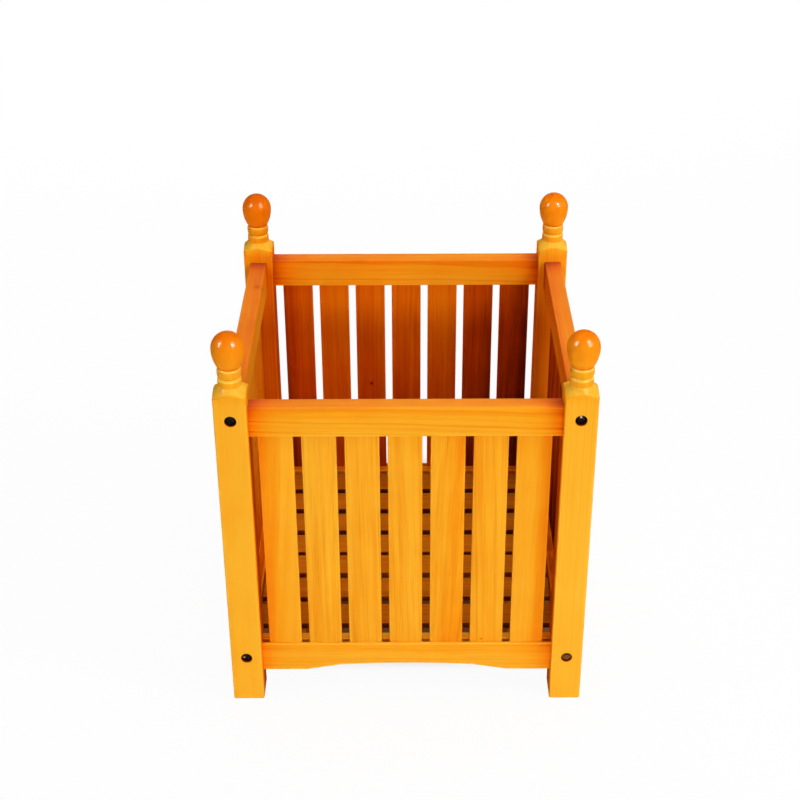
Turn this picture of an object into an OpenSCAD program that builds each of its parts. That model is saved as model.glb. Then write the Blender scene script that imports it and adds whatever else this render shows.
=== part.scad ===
// Square garden planter of slatted panels between four turned corner posts.
// The origin is on the ground under the middle of the planter, +Z up, and the front faces -Y.
// A panel is drawn once, as the front one, and turned by 90 degrees for each other side.

/* [Overall] */
// Width across the posts, left to right
width = 500; // [440:5:640]
// Depth across the posts, front to back
depth = 500; // [440:5:640]
// Height of the top rails' upper face above the ground
rail_top_z = 482; // [360:2:640]
// Height of the bottom rails' lower edge above the ground
foot_clearance = 46; // [20:1:90]

/* [Posts] */
// Width of a square post
post_w = 44; // [40:1:56]
// Radius of the round-over along a post's long edges
post_round = 2; // [1:0.5:4]
// Radius of the round-over under a post's foot
foot_round = 2; // [1:0.5:4]
// Height of a post's corner above the top rail, where the turned shoulder starts
post_rise = 17; // [8:1:40]

/* [Finials] */
// Height of the turned shoulder from the post's corners to the lower bead
shoulder_h = 12.5; // [9:0.5:20]
// Radius of the hollow sweep of the shoulder
shoulder_sweep = 45; // [40:1:90]
// How far a bead's widest ring lies inside the post's faces
bead_cut = 6.1; // [4:0.1:8]
// Height of the lower bead, up to its groove
lower_bead_h = 12; // [9:0.5:16]
// Height of the upper bead, up to the neck
upper_bead_h = 14; // [9:0.5:18]
// Depth of the groove above a bead
bead_groove = 2; // [1:0.1:3]
// How far the neck under the ball lies inside the post's faces
neck_cut = 7.4; // [5:0.1:10]
// How far the ball's widest ring lies inside the post's faces
ball_cut = 0.3; // [0:0.1:3]
// Height of the ball from its neck to its widest ring
ball_lower_h = 27; // [20:1:40]
// Height of the ball from its widest ring to its crown
ball_upper_h = 22.5; // [16:0.5:32]
// How full the lower part of the ball is, 1 for a straight cone
ball_fullness = 2.1; // [1.4:0.1:3]

/* [Rails] */
// Thickness of every rail
rail_t = 25; // [22:1:32]
// Height of a top rail
top_rail_h = 44; // [40:1:60]
// Height of a bottom rail at its ends
bottom_rail_h = 48; // [42:1:60]
// Radius of the round-over along a rail's long edges
rail_round = 2; // [0.5:0.5:4]
// Length of the arch under a bottom rail
arch_span = 286; // [200:2:300]
// Height of the arch in the middle of its span
arch_rise = 11.5; // [4:0.5:16]
// Slope of the arch at its two ends, in degrees
arch_slope = 10.2; // [8:0.1:20]
// Radius of the arch's flat middle sweep
arch_sweep = 1600; // [900:50:3000]

/* [Slats] */
// Number of slats in one panel
slat_count = 7; // [5:1:7]
// Width of a slat
slat_w = 46; // [36:1:50]
// Thickness of a slat
slat_t = 9; // [7:0.5:12]
// Radius of the round-over along a slat's long edges
slat_round = 1; // [0.4:0.2:2]
// Setback of a slat's face from the rail's outer face
slat_setback = 3; // [2:0.5:4]
// Depth of the slat groove in a rail
groove_depth = 10; // [6:1:12]
// Clearance between a slat's face and the side of its groove
groove_clearance = 0.1; // [0.05:0.05:0.5]
// Clearance between a slat's upper end and the groove's end
slat_end_clearance = 0.5; // [0.2:0.1:2]
// How much wider the last gap of a panel is than the others
last_gap_extra = 2; // [0:0.5:4]

/* [Floor] */
// Number of floor boards
board_count = 7; // [5:1:7]
// Width of a floor board
board_w = 46; // [36:1:48]
// Thickness of a floor board
board_t = 9; // [7:0.5:14]
// Gap between the back posts' inner faces and the first board
board_back_gap = 1; // [0.5:0.5:6]
// Gap between the front posts' inner faces and the last board
board_front_gap = 11; // [0.5:0.5:15]
// Gap between the ends of a board and the side rails
board_end_gap = 2; // [1:0.5:6]
// Relative widths of the gaps between the boards, which were laid by eye, from the back
board_gap_shares = [12, 14, 12, 8, 13, 17]; // [4:1:24]
// How far the floor lies under the top of the bottom rails
floor_drop = 0; // [0:0.5:6]
// Width of a floor bearer
bearer_w = 45; // [30:1:60]
// Thickness of a floor bearer
bearer_t = 20; // [18:1:24]
// Gap between a bearer and the side posts' inner faces
bearer_gap = 16; // [4:0.5:40]

/* [Bolts] */
// Height of a bolt in the solid wood of a top rail, 0 at its bottom and 1 at its top
top_bolt_share = 0.56; // [0.5:0.01:0.66]
// Height of a bolt in the solid wood of a bottom rail
bottom_bolt_share = 0.76; // [0.5:0.01:0.78]
// Diameter of a bolt's shank
bolt_d = 6; // [5:0.5:8]
// How far a bolt reaches into its rail
bolt_reach = 21.5; // [16:0.5:24]
// Diameter of a bolt's head
bolt_head_d = 15.2; // [13:0.1:17]
// Height of the straight rim of a bolt's head
bolt_rim_h = 2; // [1:0.5:3]
// Height of the dome on a bolt's head
bolt_dome_h = 3.5; // [2:0.5:4]
// Width across the flats of the socket in a bolt's head
bolt_socket_w = 5; // [4:0.5:6]
// Depth of the socket in a bolt's head
bolt_socket_depth = 2.8; // [1.5:0.1:2.8]
// Depth of the counterbore in a post
counterbore_depth = 7.5; // [7:0.5:14]
// Clearance round a bolt's head in its counterbore
head_clearance = 0.4; // [0.2:0.1:1]
// Clearance round a bolt's shank in a post
shank_clearance = 0.4; // [0.2:0.1:1]
// Outer diameter of a threaded insert
insert_d = 11; // [9.5:0.5:12]
// Length of a threaded insert
insert_length = 20; // [14:1:30]
// Clearance round a bolt's shank in its threaded insert
thread_clearance = 0.05; // [0.02:0.01:0.1]

/* [Dowels and nails] */
// Diameter of a dowel in a front or back rail, or in a bearer
dowel_d = 8; // [6:0.5:9]
// Distance between the two dowels of a joint
dowel_pitch = 17; // [14:0.5:20]
// Length of a dowel in the post or rail that takes its far end
dowel_far = 12; // [8:1:14]
// Length of a dowel in the end of its own rail or bearer
dowel_near = 20; // [12:1:30]
// Clearance round a dowel, insert or nail in its hole
hole_clearance = 0.05; // [0.02:0.01:0.1]
// Room left at the far end of a blind hole
hole_end_room = 1; // [0.5:0.5:2]
// Diameter of the locating dowel in a side rail
locating_dowel_d = 6; // [5:0.5:7]
// Height of a locating dowel in the solid wood of a top rail
top_locating_share = 0.15; // [0.14:0.01:0.2]
// Height of a locating dowel in the solid wood of a bottom rail
bottom_locating_share = 0.4; // [0.2:0.01:0.42]
// Diameter of a floor nail
nail_d = 2.4; // [1.6:0.1:3]
// How far a floor nail reaches into its bearer
nail_reach = 15; // [10:1:15]
// Diameter of a floor nail's head
nail_head_d = 5; // [4:0.5:7]
// Thickness of a floor nail's head
nail_head_t = 1; // [0.6:0.1:1.5]
// Distance between the two nails of a crossing
nail_pitch = 24; // [14:1:28]

/* [Hidden] */
$fn = 64;
// Length of overshoot of every cutter past the face it cuts
over = 1;
// Steps of a curved outline on a turned finial or a bolt's head
curve_steps = 16;
// Power of a bead's swell, which is flat in the middle and falls to a groove at each end
bead_power = 4;
// Where the lower bead starts on that swell, from -1 at its groove to 0 at its widest ring
lower_bead_start = -0.6;

// Sides of the planter in turns of 90 degrees from the front, and its corners
SIDES = ["front", "right", "back", "left"];
CORNERS = ["front_left", "front_right", "back_right", "back_left"];

// Places on the planter
rail_inset = (post_w - rail_t) / 2;
post_inner_x = width / 2 - post_w;
post_inner_y = depth / 2 - post_w;
inner_x = width / 2 - rail_inset - rail_t;
inner_y = depth / 2 - rail_inset - rail_t;
top_rail_z = rail_top_z - top_rail_h;
bottom_rail_top_z = foot_clearance + bottom_rail_h;
post_top_z = rail_top_z + post_rise;
floor_z = bottom_rail_top_z - floor_drop;

// Radii and heights of the turned finial
post_corner_r = post_w / sqrt(2);
bead_r = post_w / 2 - bead_cut;
neck_r = post_w / 2 - neck_cut;
ball_r = post_w / 2 - ball_cut;
bead_z = post_top_z + shoulder_h;
neck_z = bead_z + lower_bead_h + upper_bead_h;
ball_mid_z = neck_z + ball_lower_h;
crown_z = ball_mid_z + ball_upper_h;

// Slats
groove_w = slat_t + 2 * groove_clearance;
slat_z = bottom_rail_top_z - groove_depth;
slat_length = top_rail_z + groove_depth - slat_end_clearance - slat_z;

// Floor boards and their bearers
board_first_y = post_inner_y - board_back_gap;
board_last_y = -post_inner_y + board_front_gap;
board_free = board_first_y - board_last_y - board_count * board_w;
bearer_x = post_inner_x - bearer_gap - bearer_w / 2;
bearer_length = 2 * inner_y;
bearer_mid_z = floor_z - board_t - bearer_t / 2;
nail_length = board_t + nail_reach;

// Wood that the slat groove leaves in a top and in a bottom rail: its lowest height and its extent
TOP_CORE = [top_rail_z + groove_depth, top_rail_h - groove_depth];
BOTTOM_CORE = [foot_clearance, bottom_rail_h - groove_depth];
CORES = [TOP_CORE, BOTTOM_CORE];
BOLT_HEIGHTS = [in_core(TOP_CORE, top_bolt_share), in_core(BOTTOM_CORE, bottom_bolt_share)];
LOCATING_HEIGHTS = [in_core(TOP_CORE, top_locating_share), in_core(BOTTOM_CORE, bottom_locating_share)];

// Bolts
bolt_head_h = bolt_rim_h + bolt_dome_h;
bolt_length = post_w - counterbore_depth + bolt_reach;
insert_bore_depth = max(insert_length, bolt_reach) + hole_end_room;

// Height in a rail's core at a share of its extent
function in_core(core, share) = core[0] + core[1] * share;

// Height of the lower (t = -1) or upper (t = 1) dowel of a joint, both about the middle of the core
function dowel_z(core, t) = in_core(core, 0.5) + t * dowel_pitch / 2;

// Sum of the gap shares behind board i, counted from 0 at the back
function shares_behind(i) = i <= 0 ? 0 : board_gap_shares[i - 1] + shares_behind(i - 1);

// Middle of board i, counted from 1 at the back
function board_y(i) =
    let(share = shares_behind(i - 1) / shares_behind(board_count - 1))
    board_first_y - (i - 0.5) * board_w - board_free * share;

// Front and back panels lie across the planter, side panels along it
function lies_across(side) = side == "front" || side == "back";
function panel_length(side) = (lies_across(side) ? width : depth) - 2 * post_w;
function panel_distance(side) = ((lies_across(side) ? depth : width) - post_w) / 2;

// Even gap between the slats of a panel
function slat_gap(side) =
    (panel_length(side) - slat_count * slat_w - last_gap_extra) / (slat_count + 1);

// Middle of slat i of a panel, counted from 1 at the left post seen from outside
function slat_x(side, i) =
    -panel_length(side) / 2 + i * (slat_w + slat_gap(side)) - slat_w / 2;

// Points of an arc round centre c from angle a to angle b
function arc_points(c, r, a, b) =
    [for (k = [0:curve_steps]) let(t = a + (b - a) * k / curve_steps)
        [c[0] + r * cos(t), c[1] + r * sin(t)]];

// Colours
module post_wood() { color([0.97, 0.65, 0.16]) children(); }
module rail_wood() { color([0.95, 0.56, 0.14]) children(); }
module slat_wood() { color([0.96, 0.62, 0.16]) children(); }
module floor_wood() { color([0.68, 0.33, 0.08]) children(); }
module dowel_wood() { color([0.85, 0.7, 0.45]) children(); }
module black_steel() { color([0.05, 0.05, 0.05]) children(); }
module bright_steel() { color([0.7, 0.7, 0.68]) children(); }

// Turns the front panel's frame to a side, with its origin under the middle of that side's rails
module at_side(side) {
    turn = search([side], SIDES)[0] * 90;
    rotate([0, 0, turn])
        translate([0, -panel_distance(side), 0])
            children();
}

// Mirrors a post's frame, with its inner faces to +X and +Y, to a corner of the planter
module at_corner(corner) {
    on_right = corner == "front_right" || corner == "back_right" ? 1 : 0;
    on_back = corner == "back_left" || corner == "back_right" ? 1 : 0;
    mirror([on_right, 0, 0])
        mirror([0, on_back, 0])
            translate([-panel_distance("left"), -panel_distance("front"), 0])
                children();
}

// Rectangle centred on the origin with round corners
module round_rectangle(x, y, r) {
    square([x - 2 * r, y], center = true);
    square([x, y - 2 * r], center = true);
    for (sx = [-1, 1], sy = [-1, 1])
        translate([sx * (x / 2 - r), sy * (y / 2 - r)])
            circle(r);
}

// Bar along X with round long edges, centred on the origin
module bar_x(length, y, z, r) {
    rotate([90, 0, 90])
        linear_extrude(length, center = true)
            round_rectangle(y, z, r);
}

// Cylinder along X from a to b
module rod_x(a, b, d) {
    translate([a, 0, 0])
        rotate([0, 90, 0])
            cylinder(h = b - a, d = d);
}

// Cylinder along Y from a to b
module rod_y(a, b, d) {
    translate([0, a, 0])
        rotate([-90, 0, 0])
            cylinder(h = b - a, d = d);
}

// Points of the hollow sweep from a post's corner up to the lower bead
function shoulder_points() =
    let(
        start_r = bead_r - bead_groove * pow(abs(lower_bead_start), bead_power),
        run = post_corner_r - start_r,
        lean = atan2(shoulder_h, run),
        half_angle = asin(norm([run, shoulder_h]) / 2 / shoulder_sweep),
        reach = shoulder_sweep * cos(half_angle),
        centre = [
            post_corner_r - run / 2 + reach * sin(lean),
            post_top_z + shoulder_h / 2 + reach * cos(lean)
        ]
    )
    arc_points(centre, shoulder_sweep, 270 - lean + half_angle, 270 - lean - half_angle);

// Points of a bead from height z, whose swell starts at first, from -1 at a groove to 1 at the next
function bead_points(z, h, first) =
    [for (k = [1:curve_steps]) let(t = k / curve_steps, swell = first + (1 - first) * t)
        [bead_r - bead_groove * pow(abs(swell), bead_power), z + h * t]];

// Points of the ball under its widest ring, where it thins to the neck by a power of the distance
function ball_lower_points() =
    [for (k = [0:curve_steps - 1]) let(t = 1 - k / curve_steps)
        [ball_r - (ball_r - neck_r) * pow(t, ball_fullness), ball_mid_z - ball_lower_h * t]];

// Points of a dome of height h on a ring of radius r at height z: a quarter of an ellipse
function dome_points(r, z, h) =
    [for (k = [0:curve_steps]) let(t = 90 * k / curve_steps)
        [r * cos(t), z + h * sin(t)]];

// Half outline of a turned post, wide enough under the shoulder to hold the square part
module turned_outline() {
    polygon(concat(
        [[0, 0], [post_w, 0], [post_w, post_top_z]],
        shoulder_points(),
        bead_points(bead_z, lower_bead_h, lower_bead_start),
        bead_points(bead_z + lower_bead_h, upper_bead_h, -1),
        ball_lower_points(),
        dome_points(ball_r, ball_mid_z, ball_upper_h)
    ));
}

// Upright slab as deep as two posts, with a round-over under its two long edges
module foot_slab() {
    rotate([90, 0, 0])
        translate([0, crown_z / 2 + over, -post_w])
            linear_extrude(2 * post_w)
                round_rectangle(post_w, crown_z + 2 * over, foot_round);
}

// Post centred on the Z axis, before drilling
module post_blank() {
    intersection() {
        rotate_extrude()
            turned_outline();
        linear_extrude(crown_z + over)
            round_rectangle(post_w, post_w, post_round);
        foot_slab();
        rotate([0, 0, 90])
            foot_slab();
    }
}

// Holes in a post centred on the Z axis: bolts and locating dowels lie along Y, rail dowels along X
module post_holes() {
    for (z = BOLT_HEIGHTS)
        translate([0, 0, z]) {
            rod_y(-post_w, post_w, bolt_d + 2 * shank_clearance);
            rod_y(-post_w, -post_w / 2 + counterbore_depth, bolt_head_d + 2 * head_clearance);
        }
    for (z = LOCATING_HEIGHTS)
        translate([0, post_w / 2, z])
            rod_y(-dowel_far - hole_end_room, over, locating_dowel_d + 2 * hole_clearance);
    for (core = CORES, t = [-1, 1])
        translate([post_w / 2, 0, dowel_z(core, t)])
            rod_x(-dowel_far - hole_end_room, over, dowel_d + 2 * hole_clearance);
}

module post(corner) {
    post_wood()
        at_corner(corner)
            difference() {
                post_blank();
                post_holes();
            }
}

// Groove for the slats from height z to a height past the rail, the whole length of a panel
module groove(side, z) {
    length = panel_length(side) + 2 * over;
    translate([-length / 2, -rail_t / 2 + slat_setback - groove_clearance, z])
        cube([length, groove_w, groove_depth + over]);
}

// Holes in both ends of a rail of level 0 (top) or 1 (bottom): two dowels in a front or back rail,
// an insert and a locating dowel in a side rail
module rail_end_holes(side, level) {
    for (s = [0, 1])
        mirror([s, 0, 0])
            translate([-panel_length(side) / 2, 0, 0])
                if (lies_across(side)) {
                    for (t = [-1, 1])
                        translate([0, 0, dowel_z(CORES[level], t)])
                            rod_x(-over, dowel_near + hole_end_room, dowel_d + 2 * hole_clearance);
                } else {
                    translate([0, 0, BOLT_HEIGHTS[level]])
                        rod_x(-over, insert_bore_depth, insert_d + 2 * hole_clearance);
                    translate([0, 0, LOCATING_HEIGHTS[level]])
                        rod_x(-over, dowel_near + hole_end_room, locating_dowel_d + 2 * hole_clearance);
                }
}

module top_rail(side) {
    rail_wood()
        at_side(side)
            difference() {
                translate([0, 0, top_rail_z + top_rail_h / 2])
                    bar_x(panel_length(side), rail_t, top_rail_h, rail_round);
                groove(side, top_rail_z - over);
                rail_end_holes(side, 0);
            }
}

// Shallow arch under a bottom rail: a flat sweep that ends in two short slopes
module arch() {
    // The slopes are the sides of a triangle that starts below the rail
    run = arch_span / 2 + over / tan(arch_slope);
    intersection() {
        translate([0, 0, foot_clearance + arch_rise - arch_sweep])
            rotate([90, 0, 0])
                cylinder(h = 2 * rail_t, r = arch_sweep, center = true, $fn = 720);
        translate([0, rail_t, foot_clearance - over])
            rotate([90, 0, 0])
                linear_extrude(2 * rail_t)
                    polygon([[-run, 0], [run, 0], [0, run * tan(arch_slope)]]);
    }
}

// Blind holes in the inner face of a front or back bottom rail, in front of the bearers' dowels
module bearer_dowel_holes() {
    for (sx = [-1, 1], t = [-1, 1])
        translate([sx * bearer_x + t * dowel_pitch / 2, rail_t / 2, bearer_mid_z])
            rod_y(-dowel_far - hole_end_room, over, dowel_d + 2 * hole_clearance);
}

module bottom_rail(side) {
    rail_wood()
        at_side(side)
            difference() {
                translate([0, 0, foot_clearance + bottom_rail_h / 2])
                    bar_x(panel_length(side), rail_t, bottom_rail_h, rail_round);
                groove(side, bottom_rail_top_z - groove_depth);
                arch();
                rail_end_holes(side, 1);
                if (lies_across(side))
                    bearer_dowel_holes();
            }
}

// Slat i of a panel, counted from 1 at the left post seen from outside
module slat(side, i) {
    slat_wood()
        at_side(side)
            translate([slat_x(side, i), -rail_t / 2 + slat_setback + slat_t / 2, slat_z])
                linear_extrude(slat_length)
                    round_rectangle(slat_w, slat_t, slat_round);
}

// Puts its children at floor height on both nails where board i crosses the bearer on side sx
module at_nails(i, sx) {
    for (t = [-1, 1])
        translate([sx * bearer_x, board_y(i) + t * nail_pitch / 2, floor_z])
            children();
}

module nail_hole() {
    translate([0, 0, -nail_length - hole_end_room])
        cylinder(h = nail_length + hole_end_room + over, d = nail_d + 2 * hole_clearance);
    translate([0, 0, -nail_head_t])
        cylinder(h = nail_head_t + over, d = nail_head_d + 2 * hole_clearance);
}

// Floor board i, counted from 1 at the back
module floor_board(i) {
    floor_wood()
        difference() {
            translate([0, board_y(i), floor_z - board_t / 2])
                bar_x(2 * (inner_x - board_end_gap), board_w, board_t, slat_round);
            for (sx = [-1, 1])
                at_nails(i, sx)
                    nail_hole();
        }
}

// Puts its children on each dowel at the two ends of the bearer on side sx, along +Y from the front
module at_bearer_dowels(sx) {
    for (s = [0, 1], t = [-1, 1])
        mirror([0, s, 0])
            translate([sx * bearer_x + t * dowel_pitch / 2, -bearer_length / 2, bearer_mid_z])
                children();
}

// Bearer under the floor boards on side sx, from the front rail to the back rail
module bearer(sx) {
    floor_wood()
        difference() {
            translate([sx * bearer_x, 0, bearer_mid_z])
                rotate([0, 0, 90])
                    bar_x(bearer_length, bearer_w, bearer_t, slat_round);
            for (i = [1:board_count])
                at_nails(i, sx)
                    nail_hole();
            at_bearer_dowels(sx)
                rod_y(-over, dowel_near + hole_end_room, dowel_d + 2 * hole_clearance);
        }
}

// Domed head that stands on its seat with a hexagonal socket in its crown
module bolt_head() {
    difference() {
        rotate_extrude()
            polygon(concat(
                [[0, 0], [bolt_head_d / 2, 0]],
                dome_points(bolt_head_d / 2, bolt_rim_h, bolt_dome_h)
            ));
        translate([0, 0, bolt_head_h - bolt_socket_depth])
            cylinder(h = bolt_socket_depth + over, d = bolt_socket_w / cos(30), $fn = 6);
    }
}

module bolts() {
    seat = -post_w / 2 + counterbore_depth;
    black_steel()
        for (c = CORNERS, z = BOLT_HEIGHTS)
            at_corner(c)
                translate([0, seat, z]) {
                    rod_y(0, bolt_length, bolt_d);
                    rotate([90, 0, 0])
                        bolt_head();
                }
}

module threaded_inserts() {
    bright_steel()
        for (c = CORNERS, z = BOLT_HEIGHTS)
            at_corner(c)
                translate([0, post_w / 2, z])
                    difference() {
                        rod_y(0, insert_length, insert_d);
                        rod_y(-over, insert_length + over, bolt_d + 2 * thread_clearance);
                    }
}

module rail_dowels() {
    dowel_wood()
        for (c = CORNERS, core = CORES, t = [-1, 1])
            at_corner(c)
                translate([post_w / 2, 0, dowel_z(core, t)])
                    rod_x(-dowel_far, dowel_near, dowel_d);
}

module locating_dowels() {
    dowel_wood()
        for (c = CORNERS, z = LOCATING_HEIGHTS)
            at_corner(c)
                translate([0, post_w / 2, z])
                    rod_y(-dowel_far, dowel_near, locating_dowel_d);
}

module bearer_dowels() {
    dowel_wood()
        for (sx = [-1, 1])
            at_bearer_dowels(sx)
                rod_y(-dowel_far, dowel_near, dowel_d);
}

module floor_nails() {
    bright_steel()
        for (i = [1:board_count], sx = [-1, 1])
            at_nails(i, sx) {
                translate([0, 0, -nail_length])
                    cylinder(h = nail_length, d = nail_d);
                translate([0, 0, -nail_head_t])
                    cylinder(h = nail_head_t, d = nail_head_d);
            }
}

for (c = CORNERS)
    post(c);
for (s = SIDES) {
    top_rail(s);
    bottom_rail(s);
    for (i = [1:slat_count])
        slat(s, i);
}
for (i = [1:board_count])
    floor_board(i);
bearer(-1);  // left_bearer
bearer(1);  // right_bearer
bolts();
threaded_inserts();
rail_dowels();
locating_dowels();
bearer_dowels();
floor_nails();
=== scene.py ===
"""Looks of a square slatted wooden planter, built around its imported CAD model.

Every length is in metres, in the frame of the CAD model: the origin is in the middle of the
footprint, on the ground, with the front towards -Y.
"""

from __future__ import annotations

import logging
import math
from dataclasses import dataclass, field, replace
from enum import Enum
from typing import Any, Self

import bmesh
import bpy
import numpy as np
from mathutils import Matrix, Vector


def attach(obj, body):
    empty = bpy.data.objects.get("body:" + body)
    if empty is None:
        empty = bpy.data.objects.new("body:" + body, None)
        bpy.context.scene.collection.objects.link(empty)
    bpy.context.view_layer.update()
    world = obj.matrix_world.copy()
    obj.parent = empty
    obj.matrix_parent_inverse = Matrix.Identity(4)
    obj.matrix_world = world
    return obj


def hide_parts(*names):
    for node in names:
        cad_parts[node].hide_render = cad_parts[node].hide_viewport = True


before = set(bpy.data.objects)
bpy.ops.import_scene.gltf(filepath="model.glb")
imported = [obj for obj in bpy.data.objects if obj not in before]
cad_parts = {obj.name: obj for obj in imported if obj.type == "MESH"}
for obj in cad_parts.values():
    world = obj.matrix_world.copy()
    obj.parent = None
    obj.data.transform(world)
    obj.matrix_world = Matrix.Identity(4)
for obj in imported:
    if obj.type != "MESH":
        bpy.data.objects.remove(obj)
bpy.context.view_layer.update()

Array = np.ndarray
Colour = tuple[float, float, float, float]
Stops = tuple[tuple[float, Colour], ...]

MM = 0.001
BODY = "root"
FULL_TURN = 2 * math.pi
SIXTH_TURN = FULL_TURN / 6
ALONG_X = np.array([1.0, 0.0, 0.0])
ALONG_Y = np.array([0.0, 1.0, 0.0])
ALONG_Z = np.array([0.0, 0.0, 1.0])
# Distances that a point carries where no long edge and no end is near
NO_RIM = 20 * MM
NO_END = 1.0
# Slack where a length is compared with one that was worked out another way
TINY = 0.001 * MM
WHITE: Colour = (1.0, 1.0, 1.0, 1.0)
log = logging.getLogger("planter")


class Named(Enum):
    """Options that the CAD nodes name in small letters."""

    @property
    def word(self) -> str:
        """The option's name as the CAD nodes write it."""
        return self.name.lower()


class Side(Named):
    """A side of the planter. Its value is the number of quarter turns from the front."""

    FRONT = 0
    RIGHT = 1
    BACK = 2
    LEFT = 3

    @property
    def is_flank(self) -> bool:
        """True for the left and the right side."""
        return self in (Side.LEFT, Side.RIGHT)


class Corner(Named):
    """A corner of the planter. Its value is the sign of X and of Y there."""

    FRONT_LEFT = (-1, -1)
    FRONT_RIGHT = (1, -1)
    BACK_LEFT = (-1, 1)
    BACK_RIGHT = (1, 1)


class Level(Named):
    """A level at which rails and bolts lie. Its value is its place from the ground up."""

    BOTTOM = 0
    TOP = 1


class Slot(Enum):
    """A material slot of the record."""

    STAINED_PINE = "stained_pine"
    FLOOR_PINE = "floor_pine"
    DOWEL_BEECH = "dowel_beech"
    BLACK_BOLT = "black_bolt"
    BRIGHT_STEEL = "bright_steel"


def linear(red: float, green: float, blue: float) -> Colour:
    """Turns a colour of 0 to 255 on a screen into the scene's linear light.

    Args:
        red: Red, 0 to 255.
        green: Green, 0 to 255.
        blue: Blue, 0 to 255.

    Returns:
        The linear colour with an alpha of 1. A share c is ((c + 0.055) / 1.055) to the power 2.4,
        or c / 12.92 near black.
    """
    shares = [c / 255 for c in (red, green, blue)]
    done = [c / 12.92 if c <= 0.04045 else ((c + 0.055) / 1.055) ** 2.4 for c in shares]
    return (done[0], done[1], done[2], 1.0)


# Shader maths


class Flow:
    """One output socket of a shader tree, which takes part in Python arithmetic."""

    node_kind = "ShaderNodeMath"

    def __init__(self, graph: Graph, socket: bpy.types.NodeSocket) -> None:
        """Wraps a socket of a graph."""
        self.graph = graph
        self.socket = socket

    def maths(self, operation: str, *values: Any) -> Self:
        """The first output of a maths node of self's own kind, on values or links."""
        made = self.graph.add(self.node_kind, {"operation": operation}, dict(enumerate(values)))
        return type(self)(self.graph, made.outputs[0])

    def __add__(self, other: Any) -> Self:
        """self + other."""
        return self.maths("ADD", self, other)

    def __radd__(self, other: Any) -> Self:
        """other + self."""
        return self.maths("ADD", other, self)

    def __sub__(self, other: Any) -> Self:
        """self - other."""
        return self.maths("SUBTRACT", self, other)

    def __rsub__(self, other: Any) -> Self:
        """other - self."""
        return self.maths("SUBTRACT", other, self)

    def __mul__(self, other: Any) -> Self:
        """self * other."""
        return self.maths("MULTIPLY", self, other)

    def __rmul__(self, other: Any) -> Self:
        """other * self."""
        return self.maths("MULTIPLY", other, self)


class Number(Flow):
    """A socket that carries one number."""

    def __truediv__(self, other: Any) -> Number:
        """self / other."""
        return self.maths("DIVIDE", self, other)

    def __rtruediv__(self, other: Any) -> Number:
        """other / self."""
        return self.maths("DIVIDE", other, self)

    def __pow__(self, other: Any) -> Number:
        """self to the power of other."""
        return self.maths("POWER", self, other)

    def __rpow__(self, other: Any) -> Number:
        """other to the power of self."""
        return self.maths("POWER", other, self)

    def exponent(self) -> Number:
        """e to the power of self."""
        return self.maths("EXPONENT", self)

    def without_sign(self) -> Number:
        """self without its sign."""
        return self.maths("ABSOLUTE", self)

    def whole(self) -> Number:
        """The whole number below self."""
        return self.maths("FLOOR", self)

    def part(self) -> Number:
        """What is left of self over the whole number below it."""
        return self.maths("FRACT", self)

    def turn_from(self, other: Number) -> Number:
        """The angle of the point (other, self), in radians."""
        return self.maths("ARCTAN2", self, other)

    def above(self, limit: Any) -> Number:
        """1 where self is above the limit, else 0."""
        return self.maths("GREATER_THAN", self, limit)

    def most(self, other: Any) -> Number:
        """The larger of self and other."""
        return self.maths("MAXIMUM", self, other)

    def ease(self, low: Any, high: Any) -> Number:
        """Rises smoothly from 0 where self is low to 1 where it is high."""
        values = {"Value": self, "From Min": low, "From Max": high, "To Min": 0.0, "To Max": 1.0}
        return self.graph.number("ShaderNodeMapRange", {"interpolation_type": "SMOOTHSTEP"}, values)


class Arrow(Flow):
    """A socket that carries a vector or a colour. Its operators take each axis by itself."""

    node_kind = "ShaderNodeVectorMath"

    def length(self) -> Number:
        """The length of the vector."""
        return self.graph.number(self.node_kind, {"operation": "LENGTH"}, {0: self}, "Value")

    def split(self) -> tuple[Number, Number, Number]:
        """The three parts of the vector."""
        made = self.graph.add("ShaderNodeSeparateXYZ", {}, {0: self})
        return tuple(Number(self.graph, out) for out in made.outputs)


@dataclass(frozen=True)
class Layer:
    """A layer of noise drawn out along the wood.

    It has so many swells per metre across and along the log. The detail is its octaves, and
    rough is how much of its strength each octave keeps.
    """

    across: float
    along: float
    detail: float = 2.0
    rough: float = 0.5


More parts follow.
